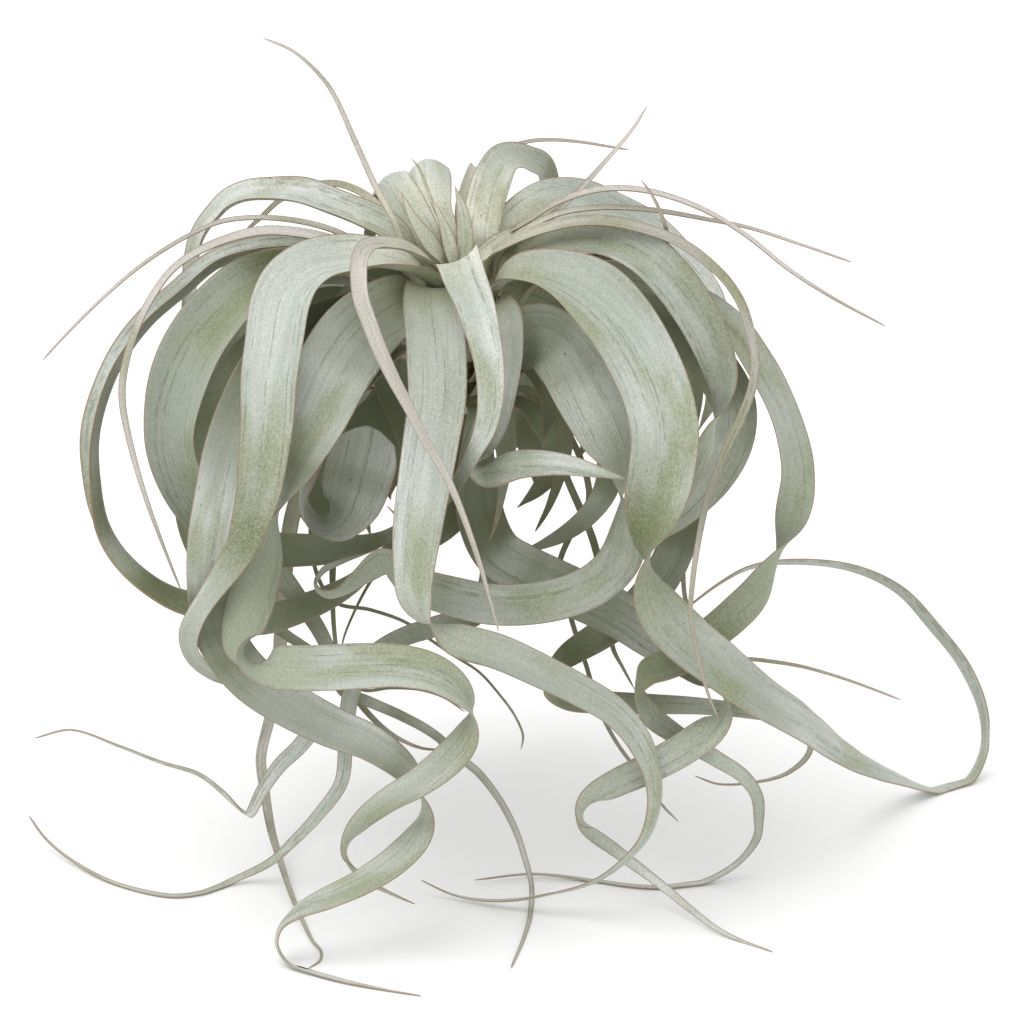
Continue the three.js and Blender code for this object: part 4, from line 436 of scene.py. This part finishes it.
# Drooping blades on the side that the photo doesn't show, which are a guess.
BACK_BLADES = {                  # height of the base, compass angle in degrees, spread, drop and width
    "back_droop_1": [-56, 28, 118, 170, 22],
    "back_droop_2": [-58, 52, 124, 132, 26],
    "back_droop_3": [-55, 75, 128, 138, 28],
    "back_droop_4": [-52, 98, 132, 172, 26],
    "back_droop_5": [-50, 118, 124, 176, 28],
    "back_droop_6": [-54, 138, 128, 168, 24],
}
BACK_PROFILE = [(0.33, 0.33), (0.6, 0.29), (0.84, 0.36), (0.96, 0.52), (1, 0.7), (0.94, 0.87), (0.82, 1)]
BACK_WIDTHS = [0.3, 0.65, 0.95, 1, 0.9, 0.6, 0.1]
BACK_CUPS = [0.3, 0.15, 0.1, 0.1]


# ---- The viewer's terms -----------------------------------------------------------------------------
def unit(vector):
    return vector / np.linalg.norm(vector)


def floor_depth(up):
    """How far toward the viewer a place on the surface lies that is seen at this height."""
    rise_per_depth = TOWARD[2] + (VIEW_CENTRE[1] - up) * UP[2] / VIEW_DISTANCE
    return (FLOOR_LIFT - CROWN_HEIGHT - up * UP[2]) / rise_per_depth


def from_view(row):
    """A row's place about the crown. Nearer places are seen larger, so they lie closer to the axis."""
    across, up, toward = row[:3]
    if toward is FLOOR:
        toward = floor_depth(up)
    closer = toward / VIEW_DISTANCE
    seen_across = across + (VIEW_CENTRE[0] - across) * closer
    seen_up = up + (VIEW_CENTRE[1] - up) * closer
    return ACROSS * seen_across + UP * seen_up + TOWARD * toward


def seen_from_front(points):
    """Across and up as the viewer sees them: from_view the other way round."""
    closer = points @ TOWARD / VIEW_DISTANCE
    across = (points @ ACROSS - VIEW_CENTRE[0] * closer) / (1 - closer)
    up = (points @ UP - VIEW_CENTRE[1] * closer) / (1 - closer)
    return across, up


def width_seen_at(point, tangent, roll):
    """The blade's width direction where the viewer sees it turned by roll degrees."""
    sight = unit(VIEWER - point)
    side = unit(np.cross(tangent, sight))
    front = np.cross(side, tangent)
    angle = math.radians(roll)
    return side * math.cos(angle) + front * math.sin(angle)


# ---- Curves through keys ----------------------------------------------------------------------------
def key_slopes(xs, ys):
    """Level at the ends, and wherever the keys turn back."""
    slopes = np.zeros(len(xs))
    steps = np.diff(ys) / np.diff(xs)
    for i in range(1, len(xs) - 1):
        before, after = steps[i - 1], steps[i]
        if before * after > 0:
            slopes[i] = 2 * before * after / (before + after)
    return slopes


def smooth_through(xs, ys, at):
    """Passes through the keys without overshoot."""
    xs, ys = np.array(xs, float), np.array(ys, float)
    slopes = key_slopes(xs, ys)
    at = np.clip(at, xs[0], xs[-1])
    i = np.clip(np.searchsorted(xs, at, side="right") - 1, 0, len(xs) - 2)
    span = xs[i + 1] - xs[i]
    t = (at - xs[i]) / span
    rise = ys[i + 1] - ys[i]
    leave, arrive = slopes[i] * span, slopes[i + 1] * span
    return ys[i] + t * (leave + t * (3 * rise - 2 * leave - arrive + t * (leave + arrive - 2 * rise)))


def even_keys(values, at):
    return smooth_through(np.linspace(0, 1, len(values)), values, at)


def smoothstep(x, low, high):
    t = np.clip((x - low) / (high - low), 0, 1)
    return t * t * (3 - 2 * t)


# ---- Midribs ----------------------------------------------------------------------------------------
def root_points(toward_point, height):
    """The first points of a midrib, straight out from the stem."""
    away = unit(np.array([toward_point[0], toward_point[1], 0.0]))
    return [away * (STEM_RADIUS + ROOT_GAP + lead) + np.array([0, 0, height]) for lead in (0, ROOT_LEAD)]


def midrib_curve(points):
    """Points and tangents along a centripetal curve through the given points."""
    padded = [2 * points[0] - points[1], *points, 2 * points[-1] - points[-2]]
    weights = np.arange(SAMPLES_PER_ROW) / SAMPLES_PER_ROW
    found, tangents = [], []
    last = len(points) - 2
    for i in range(len(points) - 1):
        p0, p1, p2, p3 = padded[i:i + 4]
        d0, d1, d2 = (math.sqrt(np.linalg.norm(b - a)) for a, b in ((p0, p1), (p1, p2), (p2, p3)))
        leave = ((p1 - p0) / d0 - (p2 - p0) / (d0 + d1) + (p2 - p1) / d1) * d1
        arrive = ((p2 - p1) / d1 - (p3 - p1) / (d1 + d2) + (p3 - p2) / d2) * d1
        square = 3 * (p2 - p1) - 2 * leave - arrive
        cube = 2 * (p1 - p2) + leave + arrive
        ts = np.append(weights, 1.0) if i == last else weights
        for t in ts:
            found.append(p1 + t * (leave + t * (square + t * cube)))
            tangents.append(unit(leave + t * (2 * square + 3 * t * cube)))
    return np.array(found), np.array(tangents)


def carry_widths(tangents):
    """A width direction carried along without turning about the midrib."""
    widths = [unit(np.cross(tangents[0], [0.0, 0.0, 1.0]))]
    for before, here in zip(tangents, tangents[1:]):
        axis = np.cross(before, here)
        sine = np.linalg.norm(axis)
        width = widths[-1]
        if sine > TINY:
            axis = axis / sine
            cosine = float(np.dot(before, here))
            width = (width * cosine + np.cross(axis, width) * sine
                     + axis * np.dot(axis, width) * (1 - cosine))
        widths.append(unit(width - here * np.dot(width, here)))
    return np.array(widths)


def roll_keys(points, tangents, widths, arcs, route):
    """Where along the midrib the route gives a roll, and the turn from the carried width there."""
    xs, ys = [0.0], [0.0]
    for i, row in enumerate(route):
        if len(row) < 4:
            continue
        at = (i + LEAD_ROWS) * SAMPLES_PER_ROW
        wanted = width_seen_at(points[at], tangents[at], row[3])
        turn = math.atan2(np.dot(tangents[at], np.cross(widths[at], wanted)), np.dot(widths[at], wanted))
        turn += 2 * math.pi * round((ys[-1] - turn) / (2 * math.pi))
        xs.append(arcs[at])
        ys.append(turn)
    return xs, ys


def shape_midrib(points, leaf):
    """Everything a blade needs at each sample of its midrib."""
    line = [*root_points(points[0], leaf["root"]), *points]
    middle, tangents = midrib_curve(line)
    arcs = np.concatenate([[0], np.cumsum(np.linalg.norm(np.diff(middle, axis=0), axis=1))])
    widths = carry_widths(tangents)
    xs, ys = roll_keys(middle, tangents, widths, arcs, leaf["route"])
    rolls = smooth_through(xs, ys, arcs) if len(xs) > 1 else np.zeros(len(arcs))
    crossed = np.cross(tangents, widths)
    widths = widths * np.cos(rolls)[:, None] + crossed * np.sin(rolls)[:, None]
    along = arcs / arcs[-1]
    grown = smoothstep(arcs, 0, BASE_LENGTH)
    own = even_keys(leaf["widths"], along)
    root_width = min(ROOT_WIDTH, leaf["widths"][0])
    across = root_width + (own - root_width) * grown
    cup = even_keys(leaf["cups"], along) * grown * across
    middle[:, 2] = np.maximum(middle[:, 2], FLOOR_LIFT - CROWN_HEIGHT + cup / 2)
    return {
        "point": middle, "tangent": tangents, "width": widths, "face": np.cross(widths, tangents),
        "arc": arcs, "roll": rolls, "across": across, "cup": cup,
        "thickness": BLADE_THICKNESS + (TIP_THICKNESS - BLADE_THICKNESS) * along,
    }


def pick_rings(shape):
    """The samples that get a ring of points: closer together where the blade bends or turns."""
    tangents, arcs = shape["tangent"], shape["arc"]
    cosines = np.clip(np.sum(tangents[1:] * tangents[:-1], axis=1), -1, 1)
    bends = np.degrees(np.arccos(cosines))
    twists = np.degrees(np.abs(np.diff(shape["roll"])))
    costs = np.diff(arcs) / RING_SPACING + bends / RING_BEND + twists / RING_TWIST
    total = np.concatenate([[0], np.cumsum(costs)])
    steps = int(math.ceil(total[-1]))
    picked = np.searchsorted(total, np.linspace(0, total[-1], steps + 1) - TINY)
    return np.unique(np.minimum(picked, len(total) - 1))


# ---- Blade meshes -----------------------------------------------------------------------------------
def twist_rate(shape):
    """0 where a blade runs straight, 1 at and near its sharp turns, with long soft ends."""
    arcs = shape["arc"]
    turned = np.abs(np.diff(shape["roll"], prepend=shape["roll"][0]))
    spread = np.exp(-((arcs[:, None] - arcs[None, :]) / TWIST_SPREAD) ** 2)
    return np.clip(spread @ turned / TWIST_FULL, 0, 1)


def ripple_wave(arc, seed):
    turns = 2 * math.pi * arc
    return (np.sin(turns / RIPPLE_LENGTH + seed)
            + SLOW_SHARE * np.sin(turns / SLOW_LENGTH + SLOW_SHIFT * seed))


def blade_arrays(shape, rings, seed, broad):
    """Vertices of all rings, and for each its place on the blade."""
    count = POINTS_ACROSS if broad else THREAD_POINTS_ACROSS
    sides = np.sin(np.linspace(math.pi / 2, -math.pi / 2, count))
    arc = shape["arc"][rings]
    taper = np.sqrt(np.clip((shape["arc"][-1] - arc) / TIP_TAPER, TIP_LEAST, 1))
    half = shape["across"][rings] * taper / 2
    cup = shape["cup"][rings] * taper
    thick = np.maximum(shape["thickness"][rings] * (1 - TIP_THINNING * (1 - taper)), RIM_THICKNESS)
    ripple = RIPPLE_HEIGHT * np.clip((half - RIPPLE_START) / (RIPPLE_FULL - RIPPLE_START), 0, 1)
    ripple = ripple * ripple_wave(arc, seed)
    pattern = np.full(len(arc), seed * PATTERN_SHIFT)
    verts, place, edge, upper = [], [], [], []
    for top in (True, False):
        for side in (sides if top else sides[::-1]):
            height = cup / 2 * (2 * side * side - 1) + ripple * side ** 3
            local = RIM_THICKNESS + (thick - RIM_THICKNESS) * (1 - side * side)
            height = height + (local / 2 if top else -local / 2)
            verts.append(shape["point"][rings] + shape["width"][rings] * (side * half)[:, None]
                         + shape["face"][rings] * height[:, None])
            place.append(np.stack([side * half, arc, pattern], 1))
            edge.append((1 - abs(side)) * half)
            upper.append(np.full(len(arc), float(top)))
    arrays = [ring_by_ring(parts) for parts in (verts, place, edge, upper)]
    return *arrays, 2 * count


def ring_by_ring(parts):
    """One array of all points, those of the first ring first."""
    return np.stack(parts, 1).reshape(-1, *parts[0].shape[1:])


def ring_faces(rings, size):
    """Quads between the rings, and one face over each end."""
    faces = [tuple(range(size))]
    for ring in range(rings - 1):
        here, after = ring * size, (ring + 1) * size
        for j in range(size):
            k = (j + 1) % size
            faces.append((here + j, after + j, after + k, here + k))
    faces.append(tuple((rings - 1) * size + j for j in reversed(range(size))))
    return faces


def set_attribute(mesh, name, kind, values):
    attribute = mesh.attributes.new(name, kind, "POINT")
    field = "vector" if kind == "FLOAT_VECTOR" else "value"
    attribute.data.foreach_set(field, np.asarray(values, np.float32).ravel())


def link(name, data):
    made = bpy.data.objects.new(name, data)
    bpy.context.scene.collection.objects.link(made)
    return made


def add_piece(name, verts, faces, material):
    mesh = bpy.data.meshes.new(name)
    mesh.from_pydata(verts.tolist(), [], faces)
    mesh.polygons.foreach_set("use_smooth", [True] * len(mesh.polygons))
    mesh.materials.append(material)
    mesh.update()
    piece = link(name, mesh)
    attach(piece, "root")
    return piece


def crown_place():
    """Where the crown is in the frame: above the middle of the stem."""
    low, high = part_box("stem")
    return Vector(((low.x + high.x) / 2, (low.y + high.y) / 2, high.z - STEM_TOP * MM))


CROWN = np.array(crown_place())
ALL_LEAVES = []                  # every leaf piece, with the number of points in its rings


def to_frame(points):
    """From the crown's millimetres to the frame's metres, kept just inside the solids' box."""
    low, high = (np.array(corner) for corner in CAD_BOX)
    return np.clip(points * MM + CROWN, low + BOX_MARGIN, high - BOX_MARGIN)


def seed_of(name):
    """A number from 0 to 10 that differs from leaf to leaf and is the same on every run."""
    return (zlib.crc32(name.encode()) % 1000) / 100


def shaded_and_worn_share(name, points):
    """How far painted shade and wear darken the silver at each point, 0 to 1."""
    across, up = seen_from_front(points)
    share = np.zeros(len(points))
    for place_across, place_up, reach, strength in SHADED_AND_WORN_PLACES.get(name, []):
        apart = np.hypot(across - place_across, up - place_up)
        share = np.maximum(share, strength * np.exp(-(apart / reach) ** 2))
    return share


def leaf_age_and_light(leaf, tone, points):
    """0 to 1: a leaf is older the lower it starts; painted light takes part of that away where it hangs
    low.
    """
    age_and_low_light = smoothstep(-leaf["root"], AGE_YOUNG, AGE_OLD) + tone
    return np.clip(age_and_low_light, 0, 1) * (1 - LOW_PAINTED_LIGHT * smoothstep(-points[:, 2], LOW_START, LOW_END))


def add_leaf(name, leaf, points, materials):
    """One fine blade, with what its material needs to know of each of its points."""
    shape = shape_midrib(points, leaf)
    broad = max(leaf["widths"]) >= THREAD_LIMIT
    rings = pick_rings(shape)
    verts, place, edge, upper, size = blade_arrays(shape, rings, seed_of(name), broad)
    slot = "leaf_silver_green" if broad else "leaf_pale_mauve"
    piece = add_piece("leaf_" + name, to_frame(verts), ring_faces(len(rings), size), materials[slot])
    set_attribute(piece.data, "place_mm", "FLOAT_VECTOR", place)
    crown = smoothstep(-np.linalg.norm(verts, axis=1), -CROWN_END, -CROWN_FULL)
    for attribute, values in (
            ("edge_mm", edge), ("upper", upper), ("age_and_low_light", leaf_age_and_light(leaf, LEAF_TONES.get(name, 0), verts)),
            ("crown", crown), ("twist", np.repeat(twist_rate(shape)[rings], size)),
            ("shaded_and_worn", shaded_and_worn_share(name, verts))):
        set_attribute(piece.data, attribute, "FLOAT", values)
    ALL_LEAVES.append((piece, size))
    return piece


def back_points(azimuth, spread, drop):
    """A drooping midrib: BACK_PROFILE out to spread and down to drop, at one compass angle."""
    angle = math.radians(azimuth)
    away = np.array([math.cos(angle), math.sin(angle), 0.0])
    up = np.array([0.0, 0.0, 1.0])
    return [away * out * spread - up * down * drop for out, down in BACK_PROFILE]


# ---- Materials --------------------------------------------------------------------------------------
def linear(red, green, blue):
    """A colour read off as 0 to 255, as the shaders want it."""
    def one(value):
        value /= 255
        return value / 12.92 if value <= 0.04045 else ((value + 0.055) / 1.055) ** 2.4
    return one(red), one(green), one(blue), 1.0


class Shader:
    """A material's nodes, added one call at a time."""

    def __init__(self, name):
        self.material = bpy.data.materials.new(name)
        self.material.use_nodes = True
        self.tree = self.material.node_tree
        self.surface = self.tree.nodes["Principled BSDF"]

    def put(self, socket, value):
        if isinstance(value, bpy.types.NodeSocket):
            self.tree.links.new(value, socket)
        else:
            socket.default_value = value

    def attribute(self, name, vector=False):
        node = self.tree.nodes.new("ShaderNodeAttribute")
        node.attribute_name = name
        return node.outputs["Vector" if vector else "Fac"]

    def math(self, operation, first, second=0.0):
        node = self.tree.nodes.new("ShaderNodeMath")
        node.operation = operation
        self.put(node.inputs[0], first)
        self.put(node.inputs[1], second)
        return node.outputs[0]

    def times(self, first, second):
        return self.math("MULTIPLY", first, second)

    def span(self, value, low, high, start=0.0, end=1.0):
        """value from low to high becomes start to end, with eased ends."""
        node = self.tree.nodes.new("ShaderNodeMapRange")
        node.interpolation_type = "SMOOTHSTEP"
        for name, number in (("From Min", low), ("From Max", high), ("To Min", start), ("To Max", end)):
            node.inputs[name].default_value = number
        self.put(node.inputs["Value"], value)
        return node.outputs["Result"]

    def scaled(self, vector, scale):
        node = self.tree.nodes.new("ShaderNodeMapping")
        node.inputs["Scale"].default_value = scale
        self.put(node.inputs["Vector"], vector)
        return node.outputs["Vector"]

    def noise(self, vector, scale, detail=2.0):
        node = self.tree.nodes.new("ShaderNodeTexNoise")
        node.inputs["Scale"].default_value = 1.0
        node.inputs["Detail"].default_value = detail
        self.put(node.inputs["Vector"], self.scaled(vector, scale))
        return node.outputs["Fac"]

    def cells(self, vector, scale):
        node = self.tree.nodes.new("ShaderNodeTexVoronoi")
        node.inputs["Scale"].default_value = 1.0
        self.put(node.inputs["Vector"], self.scaled(vector, scale))
        return node.outputs["Distance"]

    def mix(self, share, first, second):
        node = self.tree.nodes.new("ShaderNodeMix")
        node.data_type = "RGBA"
        for socket, value in ((0, share), (6, first), (7, second)):  # the factor and the two colours
            self.put(node.inputs[socket], value)
        return node.outputs[2]

    def layered(self, colour, layers):
        """A colour with others laid over it, each with its share."""
        for share, over in layers:
            colour = self.mix(share, colour, over)
        return colour

    def bump(self, height, strength, distance):
        node = self.tree.nodes.new("ShaderNodeBump")
        node.inputs["Strength"].default_value = strength
        node.inputs["Distance"].default_value = distance
        self.put(node.inputs["Height"], height)
        self.put(self.surface.inputs["Normal"], node.outputs["Normal"])

    def finish(self, colour, roughness, sheen=0.0, specular=0.3):
        self.put(self.surface.inputs["Base Color"], colour)
        self.put(self.surface.inputs["Roughness"], roughness)
        self.surface.inputs["Sheen Weight"].default_value = sheen
        self.surface.inputs["Sheen Roughness"].default_value = 0.4
        self.surface.inputs["Specular IOR Level"].default_value = specular
        return self.material


# Colours laid over the silver: wear, fine dark marks and painted shade
OLIVE, SHADE_AND_MARKS, BARE_AND_SHADED = linear(134, 140, 86), linear(108, 116, 92), linear(106, 113, 62)
DEEP_SHADE, SPECK, TAN = linear(58, 64, 26), linear(84, 84, 56), linear(156, 130, 106)
LEAF_NOISES = [                  # scale across and along the blade, and detail
    (0.40, 0.016, 4.0),          # streaks
    (0.030, 0.011, 1.0),         # clouds
    (0.95, 0.007, 0.0),          # lines,
    (0.6, 0.16, 1.0),            # broken into dashes
    (1.25, 0.85, 3.0),           # grain
    (3.4, 2.6, 1.0),             # pores
    (0.06, 0.017, 2.0),          # worn patches
    (0.11, 0.05, 0.0),           # places with specks
]


def leaf_material(name, pale, mid, old, cream, margin_width, margin_share):
    """Silver scales over a green blade: grain, fine lines, specks, worn patches, tan margins and painted
    shade.
    """
    shader = Shader(name)
    span, times = shader.span, shader.times
    place = shader.attribute("place_mm", vector=True)
    edge, upper, age_and_low_light, crown, twist, shelter_shade, shaded_and_worn = (
        shader.attribute(word) for word in ("edge_mm", "upper", "age_and_low_light", "crown", "twist", "shelter_shade", "shaded_and_worn"))
    streaks, clouds, lines, dashes, grain, pores, patches, specked = (
        shader.noise(place, (across, along, 1.0), detail) for across, along, detail in LEAF_NOISES)

    # olive from worn patches, and painted shade where the blade turns edge-on
    wear_and_turn_shade = shader.math("MAXIMUM", span(patches, 0.48, 0.70, 0.0, 0.55), span(twist, 0.15, 1.0, 0.0, 0.30))
    wear_and_turn_shade = times(wear_and_turn_shade, span(grain, 0.3, 0.7, 0.7, 1.15))
    drawn = times(span(lines, 0.64, 0.70, 0.0, 0.42), span(dashes, 0.35, 0.6))
    specks = span(shader.cells(place, (0.20, 0.08, 1.0)), 0.04, 0.10, 0.65, 0.0)
    colour = shader.layered(pale, [
        (span(streaks, 0.36, 0.64, 0.0, 0.75), mid),
        # older leaves go grey-green, less so low down where painted light keeps them pale
        (span(age_and_low_light, 0, 1, 0.0, 0.72), old),
        # painted shade: the underside of each blade is darker
        (span(upper, 0, 1, 0.28, 0.0), SHADE_AND_MARKS),
        (span(crown, 0, 1, 0.0, 0.72), cream),
        (span(clouds, 0.34, 0.66, 0.0, 0.55), old),
        # olive: wear, painted shade at the blade's turns and painted shade in sheltered places
        (shader.math("MAXIMUM", wear_and_turn_shade, times(shelter_shade, 0.62)), OLIVE),
        # painted shade, with some wear, darkens the listed places
        (times(shaded_and_worn, span(grain, 0.3, 0.7, 0.65, 1.0)), BARE_AND_SHADED),
        # painted shade: sheltered places go deep olive, less so near the crown
        (times(shelter_shade, span(crown, 0.0, 0.8, 0.66, 0.05)), DEEP_SHADE),
        (drawn, SHADE_AND_MARKS),
        (span(grain, 0.42, 0.62, 0.0, 0.20), SHADE_AND_MARKS),
        (span(pores, 0.52, 0.68, 0.0, 0.16), SHADE_AND_MARKS),
        (times(specks, span(specked, 0.58, 0.66)), SPECK),
        (span(edge, margin_width * 0.3, margin_width, margin_share, 0.0), TAN),
    ])
    relief = shader.math("ADD", times(grain, 1.3), times(pores, 0.5))
    shader.bump(shader.math("SUBTRACT", relief, drawn), strength=0.6, distance=0.0004)
    return shader.finish(colour, span(grain, 0.3, 0.7, 0.60, 0.80), sheen=0.2)


def stem_material():
    shader = Shader("stem_bark")
    place = shader.attribute("place_mm", vector=True)
    scar = shader.attribute("scar")
    fibres = shader.noise(place, (1.4, 0.10, 1.0), 4.0)
    colour = shader.mix(shader.span(fibres, 0.35, 0.65), linear(88, 84, 56), linear(128, 124, 92))
    colour = shader.mix(shader.span(scar, 0.0, 0.5, 0.8, 0.0), colour, linear(58, 50, 36))
    shader.bump(fibres, strength=0.7, distance=0.0006)
    return shader.finish(colour, 0.85, specular=0.2)


def floor_material():
    shader = Shader("floor_paper")
    geometry = shader.tree.nodes.new("ShaderNodeNewGeometry")
    clouds = shader.noise(geometry.outputs["Position"], (2.0, 2.0, 2.0), 2.0)
    colour = shader.mix(shader.span(clouds, 0.3, 0.7), linear(244, 244, 244), linear(247, 247, 247))
    return shader.finish(colour, 0.95, specular=0.0)


# ---- The stem ---------------------------------------------------------------------------------------
STEM_ROWS, STEM_SIDES = 34, 72
STEM_ROUNDING = 4                # mm of its length at each end,
FOOT_SHARE, HEAD_SHARE = 0.75, 0.7  # which leaves these shares of the radius
STEM_INSET = 0.05                # of the scales' tips below the solid
STEM_PATTERN = 3.0               # its place among the leaves' shifted patterns
SCALE_ROWS, SCALES_ROUND = 7, 8
SCALE_RELIEF = 0.9               # how far the old leaf bases stand out of the stem,
SCALE_FALL, SCALE_SIDE_FALL = 0.75, 0.6  # and the shares of it lost up a scale and to its sides


def stem_radius(height):
    """The solid's profile, rounded at both ends."""
    from_end = min(height - STEM_BOTTOM, STEM_TOP - height)
    rounded = math.sqrt(max(0.0, 1 - (1 - min(from_end / STEM_ROUNDING, 1)) ** 2))
    share = FOOT_SHARE if height < (STEM_TOP + STEM_BOTTOM) / 2 else HEAD_SHARE
    return STEM_RADIUS * (share + (1 - share) * rounded)


def scale_depth(turn, share):
    """How far below the scales' tips the surface lies, 0 to 1, at a place on the stem."""
    row = share * SCALE_ROWS
    shifted = (turn * SCALES_ROUND + 0.5 * (int(row) % 2)) % 1
    side = abs(2 * shifted - 1)
    return min(1.0, (row % 1) * SCALE_FALL + side ** 3 * SCALE_SIDE_FALL)


def add_stem(material):
    verts, place, scar = [], [], []
    for i in range(STEM_ROWS + 1):
        share = i / STEM_ROWS
        height = STEM_BOTTOM + (STEM_TOP - STEM_BOTTOM) * share
        for j in range(STEM_SIDES):
            turn = j / STEM_SIDES
            depth = scale_depth(turn, share)
            radius = stem_radius(height) - STEM_INSET - SCALE_RELIEF * depth
            angle = 2 * math.pi * turn
            verts.append((radius * math.cos(angle), radius * math.sin(angle), height))
            place.append((angle * STEM_RADIUS, height, STEM_PATTERN))
            scar.append(1 - depth)
    piece = add_piece("stem_scaly", to_frame(np.array(verts)), ring_faces(STEM_ROWS + 1, STEM_SIDES),
                      material)
    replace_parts(piece, "stem")
    set_attribute(piece.data, "place_mm", "FLOAT_VECTOR", place)
    set_attribute(piece.data, "scar", "FLOAT", scar)


# ---- How sheltered each leaf is, for painted shade --------------------------------------------------
def sphere_directions(count):
    """Evenly spread directions, the same on every run."""
    found = []
    for i in range(count):
        height = 1 - (2 * i + 1) / count
        turn = i * math.pi * (3 - math.sqrt(5))
        flat = math.sqrt(1 - height * height)
        found.append(Vector((flat * math.cos(turn), flat * math.sin(turn), height)))
    return found


def shelter(tree, owners, owner, place, normal, directions):
    """The share of rays leaving a face that soon meet another leaf."""
    start = place + normal * SHELTER_OFFSET
    weight = blocked = 0.0
    for direction in directions:
        lean = direction.dot(normal)
        if lean <= SHELTER_LEAN:
            continue
        lean *= 1 + SHELTER_FROM_ABOVE * max(0.0, direction.z)
        weight += lean
        face = tree.ray_cast(start, direction, SHELTER_REACH)[2]
        if face is not None and owners[face] != owner:
            blocked += lean
    return blocked / weight


def leaf_tree():
    """All leaves in one tree for casting rays, and which leaf owns each face."""
    verts, faces, owners = [], [], []
    for piece, _ in ALL_LEAVES:
        start = len(verts)
        verts.extend(vertex.co[:] for vertex in piece.data.vertices)
        faces.extend([start + index for index in face.vertices] for face in piece.data.polygons)
        owners.extend([piece.name] * len(piece.data.polygons))
    return BVHTree.FromPolygons(verts, faces), owners


def eased_along(rates):
    """The mean of each ring's rate and its neighbours'."""
    padded = np.pad(rates, SHELTER_EASE, "edge")
    window = 2 * SHELTER_EASE + 1
    return np.convolve(padded, np.ones(window) / window, mode="valid")


def shade_inner_leaves():
    """Writes on each leaf how sheltered it is, for painted shade that darkens such places to olive."""
    tree, owners = leaf_tree()
    directions = sphere_directions(SHELTER_RAYS)
    for piece, size in ALL_LEAVES:
        points = piece.data.vertices
        rings, half = len(points) // size, size // 2
        rates = np.zeros((rings, 2))
        for ring in range(rings):
            top = points[ring * size + half // 2].co
            under = points[ring * size + half + half // 2].co
            normal = (top - under).normalized()
            rates[ring] = (shelter(tree, owners, piece.name, top, normal, directions),
                           shelter(tree, owners, piece.name, under, -normal, directions))
        eased = np.array([eased_along(side) for side in rates.T]).T
        shelter_shade = smoothstep(np.repeat(eased, half, axis=1), SHELTER_NONE, SHELTER_FULL)
        set_attribute(piece.data, "shelter_shade", "FLOAT", shelter_shade)


# ---- The scene round it -----------------------------------------------------------------------------
FLOOR_HALF = 14.0                # metres
WORLD_STRENGTH = 0.98
SUN_TOWARD, SUN_STRENGTH = (-0.3, -0.3, 1.0), 1.15
SUN_WIDTH = math.radians(45)     # a wide sun, for soft shadows
LENS, SENSOR_WIDTH = 126.56, 36


def add_floor():
    mesh = bpy.data.meshes.new("floor")
    corners = [(x * FLOOR_HALF, y * FLOOR_HALF, 0) for x, y in ((-1, -1), (1, -1), (1, 1), (-1, 1))]
    mesh.from_pydata(corners, [], [(0, 1, 2, 3)])
    mesh.materials.append(floor_material())
    floor = link("floor", mesh)


def add_lights():
    world = bpy.data.worlds.new("studio")
    world.use_nodes = True
    background = world.node_tree.nodes["Background"]
    background.inputs["Color"].default_value = (1.0, 1.0, 1.0, 1.0)
    background.inputs["Strength"].default_value = WORLD_STRENGTH
    bpy.context.scene.world = world
    sun = bpy.data.lights.new("key", "SUN")
    sun.energy = SUN_STRENGTH
    sun.angle = SUN_WIDTH
    link("key", sun).rotation_euler = Vector(SUN_TOWARD).to_track_quat("Z", "Y").to_euler()


def add_camera():
    data = bpy.data.cameras.new("camera")
    data.sensor_width = SENSOR_WIDTH
    data.lens = LENS
    camera = link("camera", data)
    camera.location = CROWN + VIEWER * MM
    camera.rotation_euler = (math.pi / 2 - VIEW_TILT, 0, 0)
    bpy.context.scene.camera = camera


def main():
    materials = {
        "leaf_silver_green": leaf_material(
            "silver_leaf", pale=linear(227, 229, 225), mid=linear(196, 203, 196),
            old=linear(152, 160, 145), cream=linear(244, 243, 224), margin_width=0.7, margin_share=0.80),
        "leaf_pale_mauve": leaf_material(
            "mauve_leaf", pale=linear(212, 206, 201), mid=linear(188, 181, 174),
            old=linear(150, 148, 132), cream=linear(212, 209, 188), margin_width=0.45, margin_share=0.55),
    }
    for name, leaf in LEAVES.items():
        points = [from_view(row) for row in leaf["route"]]
        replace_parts(add_leaf(name, leaf, points, materials), name)
    for name, (root, azimuth, spread, drop, width) in BACK_BLADES.items():
        leaf = blade(root, [share * width for share in BACK_WIDTHS], BACK_CUPS, [])
        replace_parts(add_leaf(name, leaf, back_points(azimuth, spread, drop), materials), name)
    for name, leaf in OLD_LEAVES.items():
        add_leaf(name, leaf, [from_view(row) for row in leaf["route"]], materials)
    add_stem(stem_material())
    shade_inner_leaves()
    add_floor()
    add_lights()
    add_camera()
    bpy.context.scene.view_settings.view_transform = "Standard"


main()
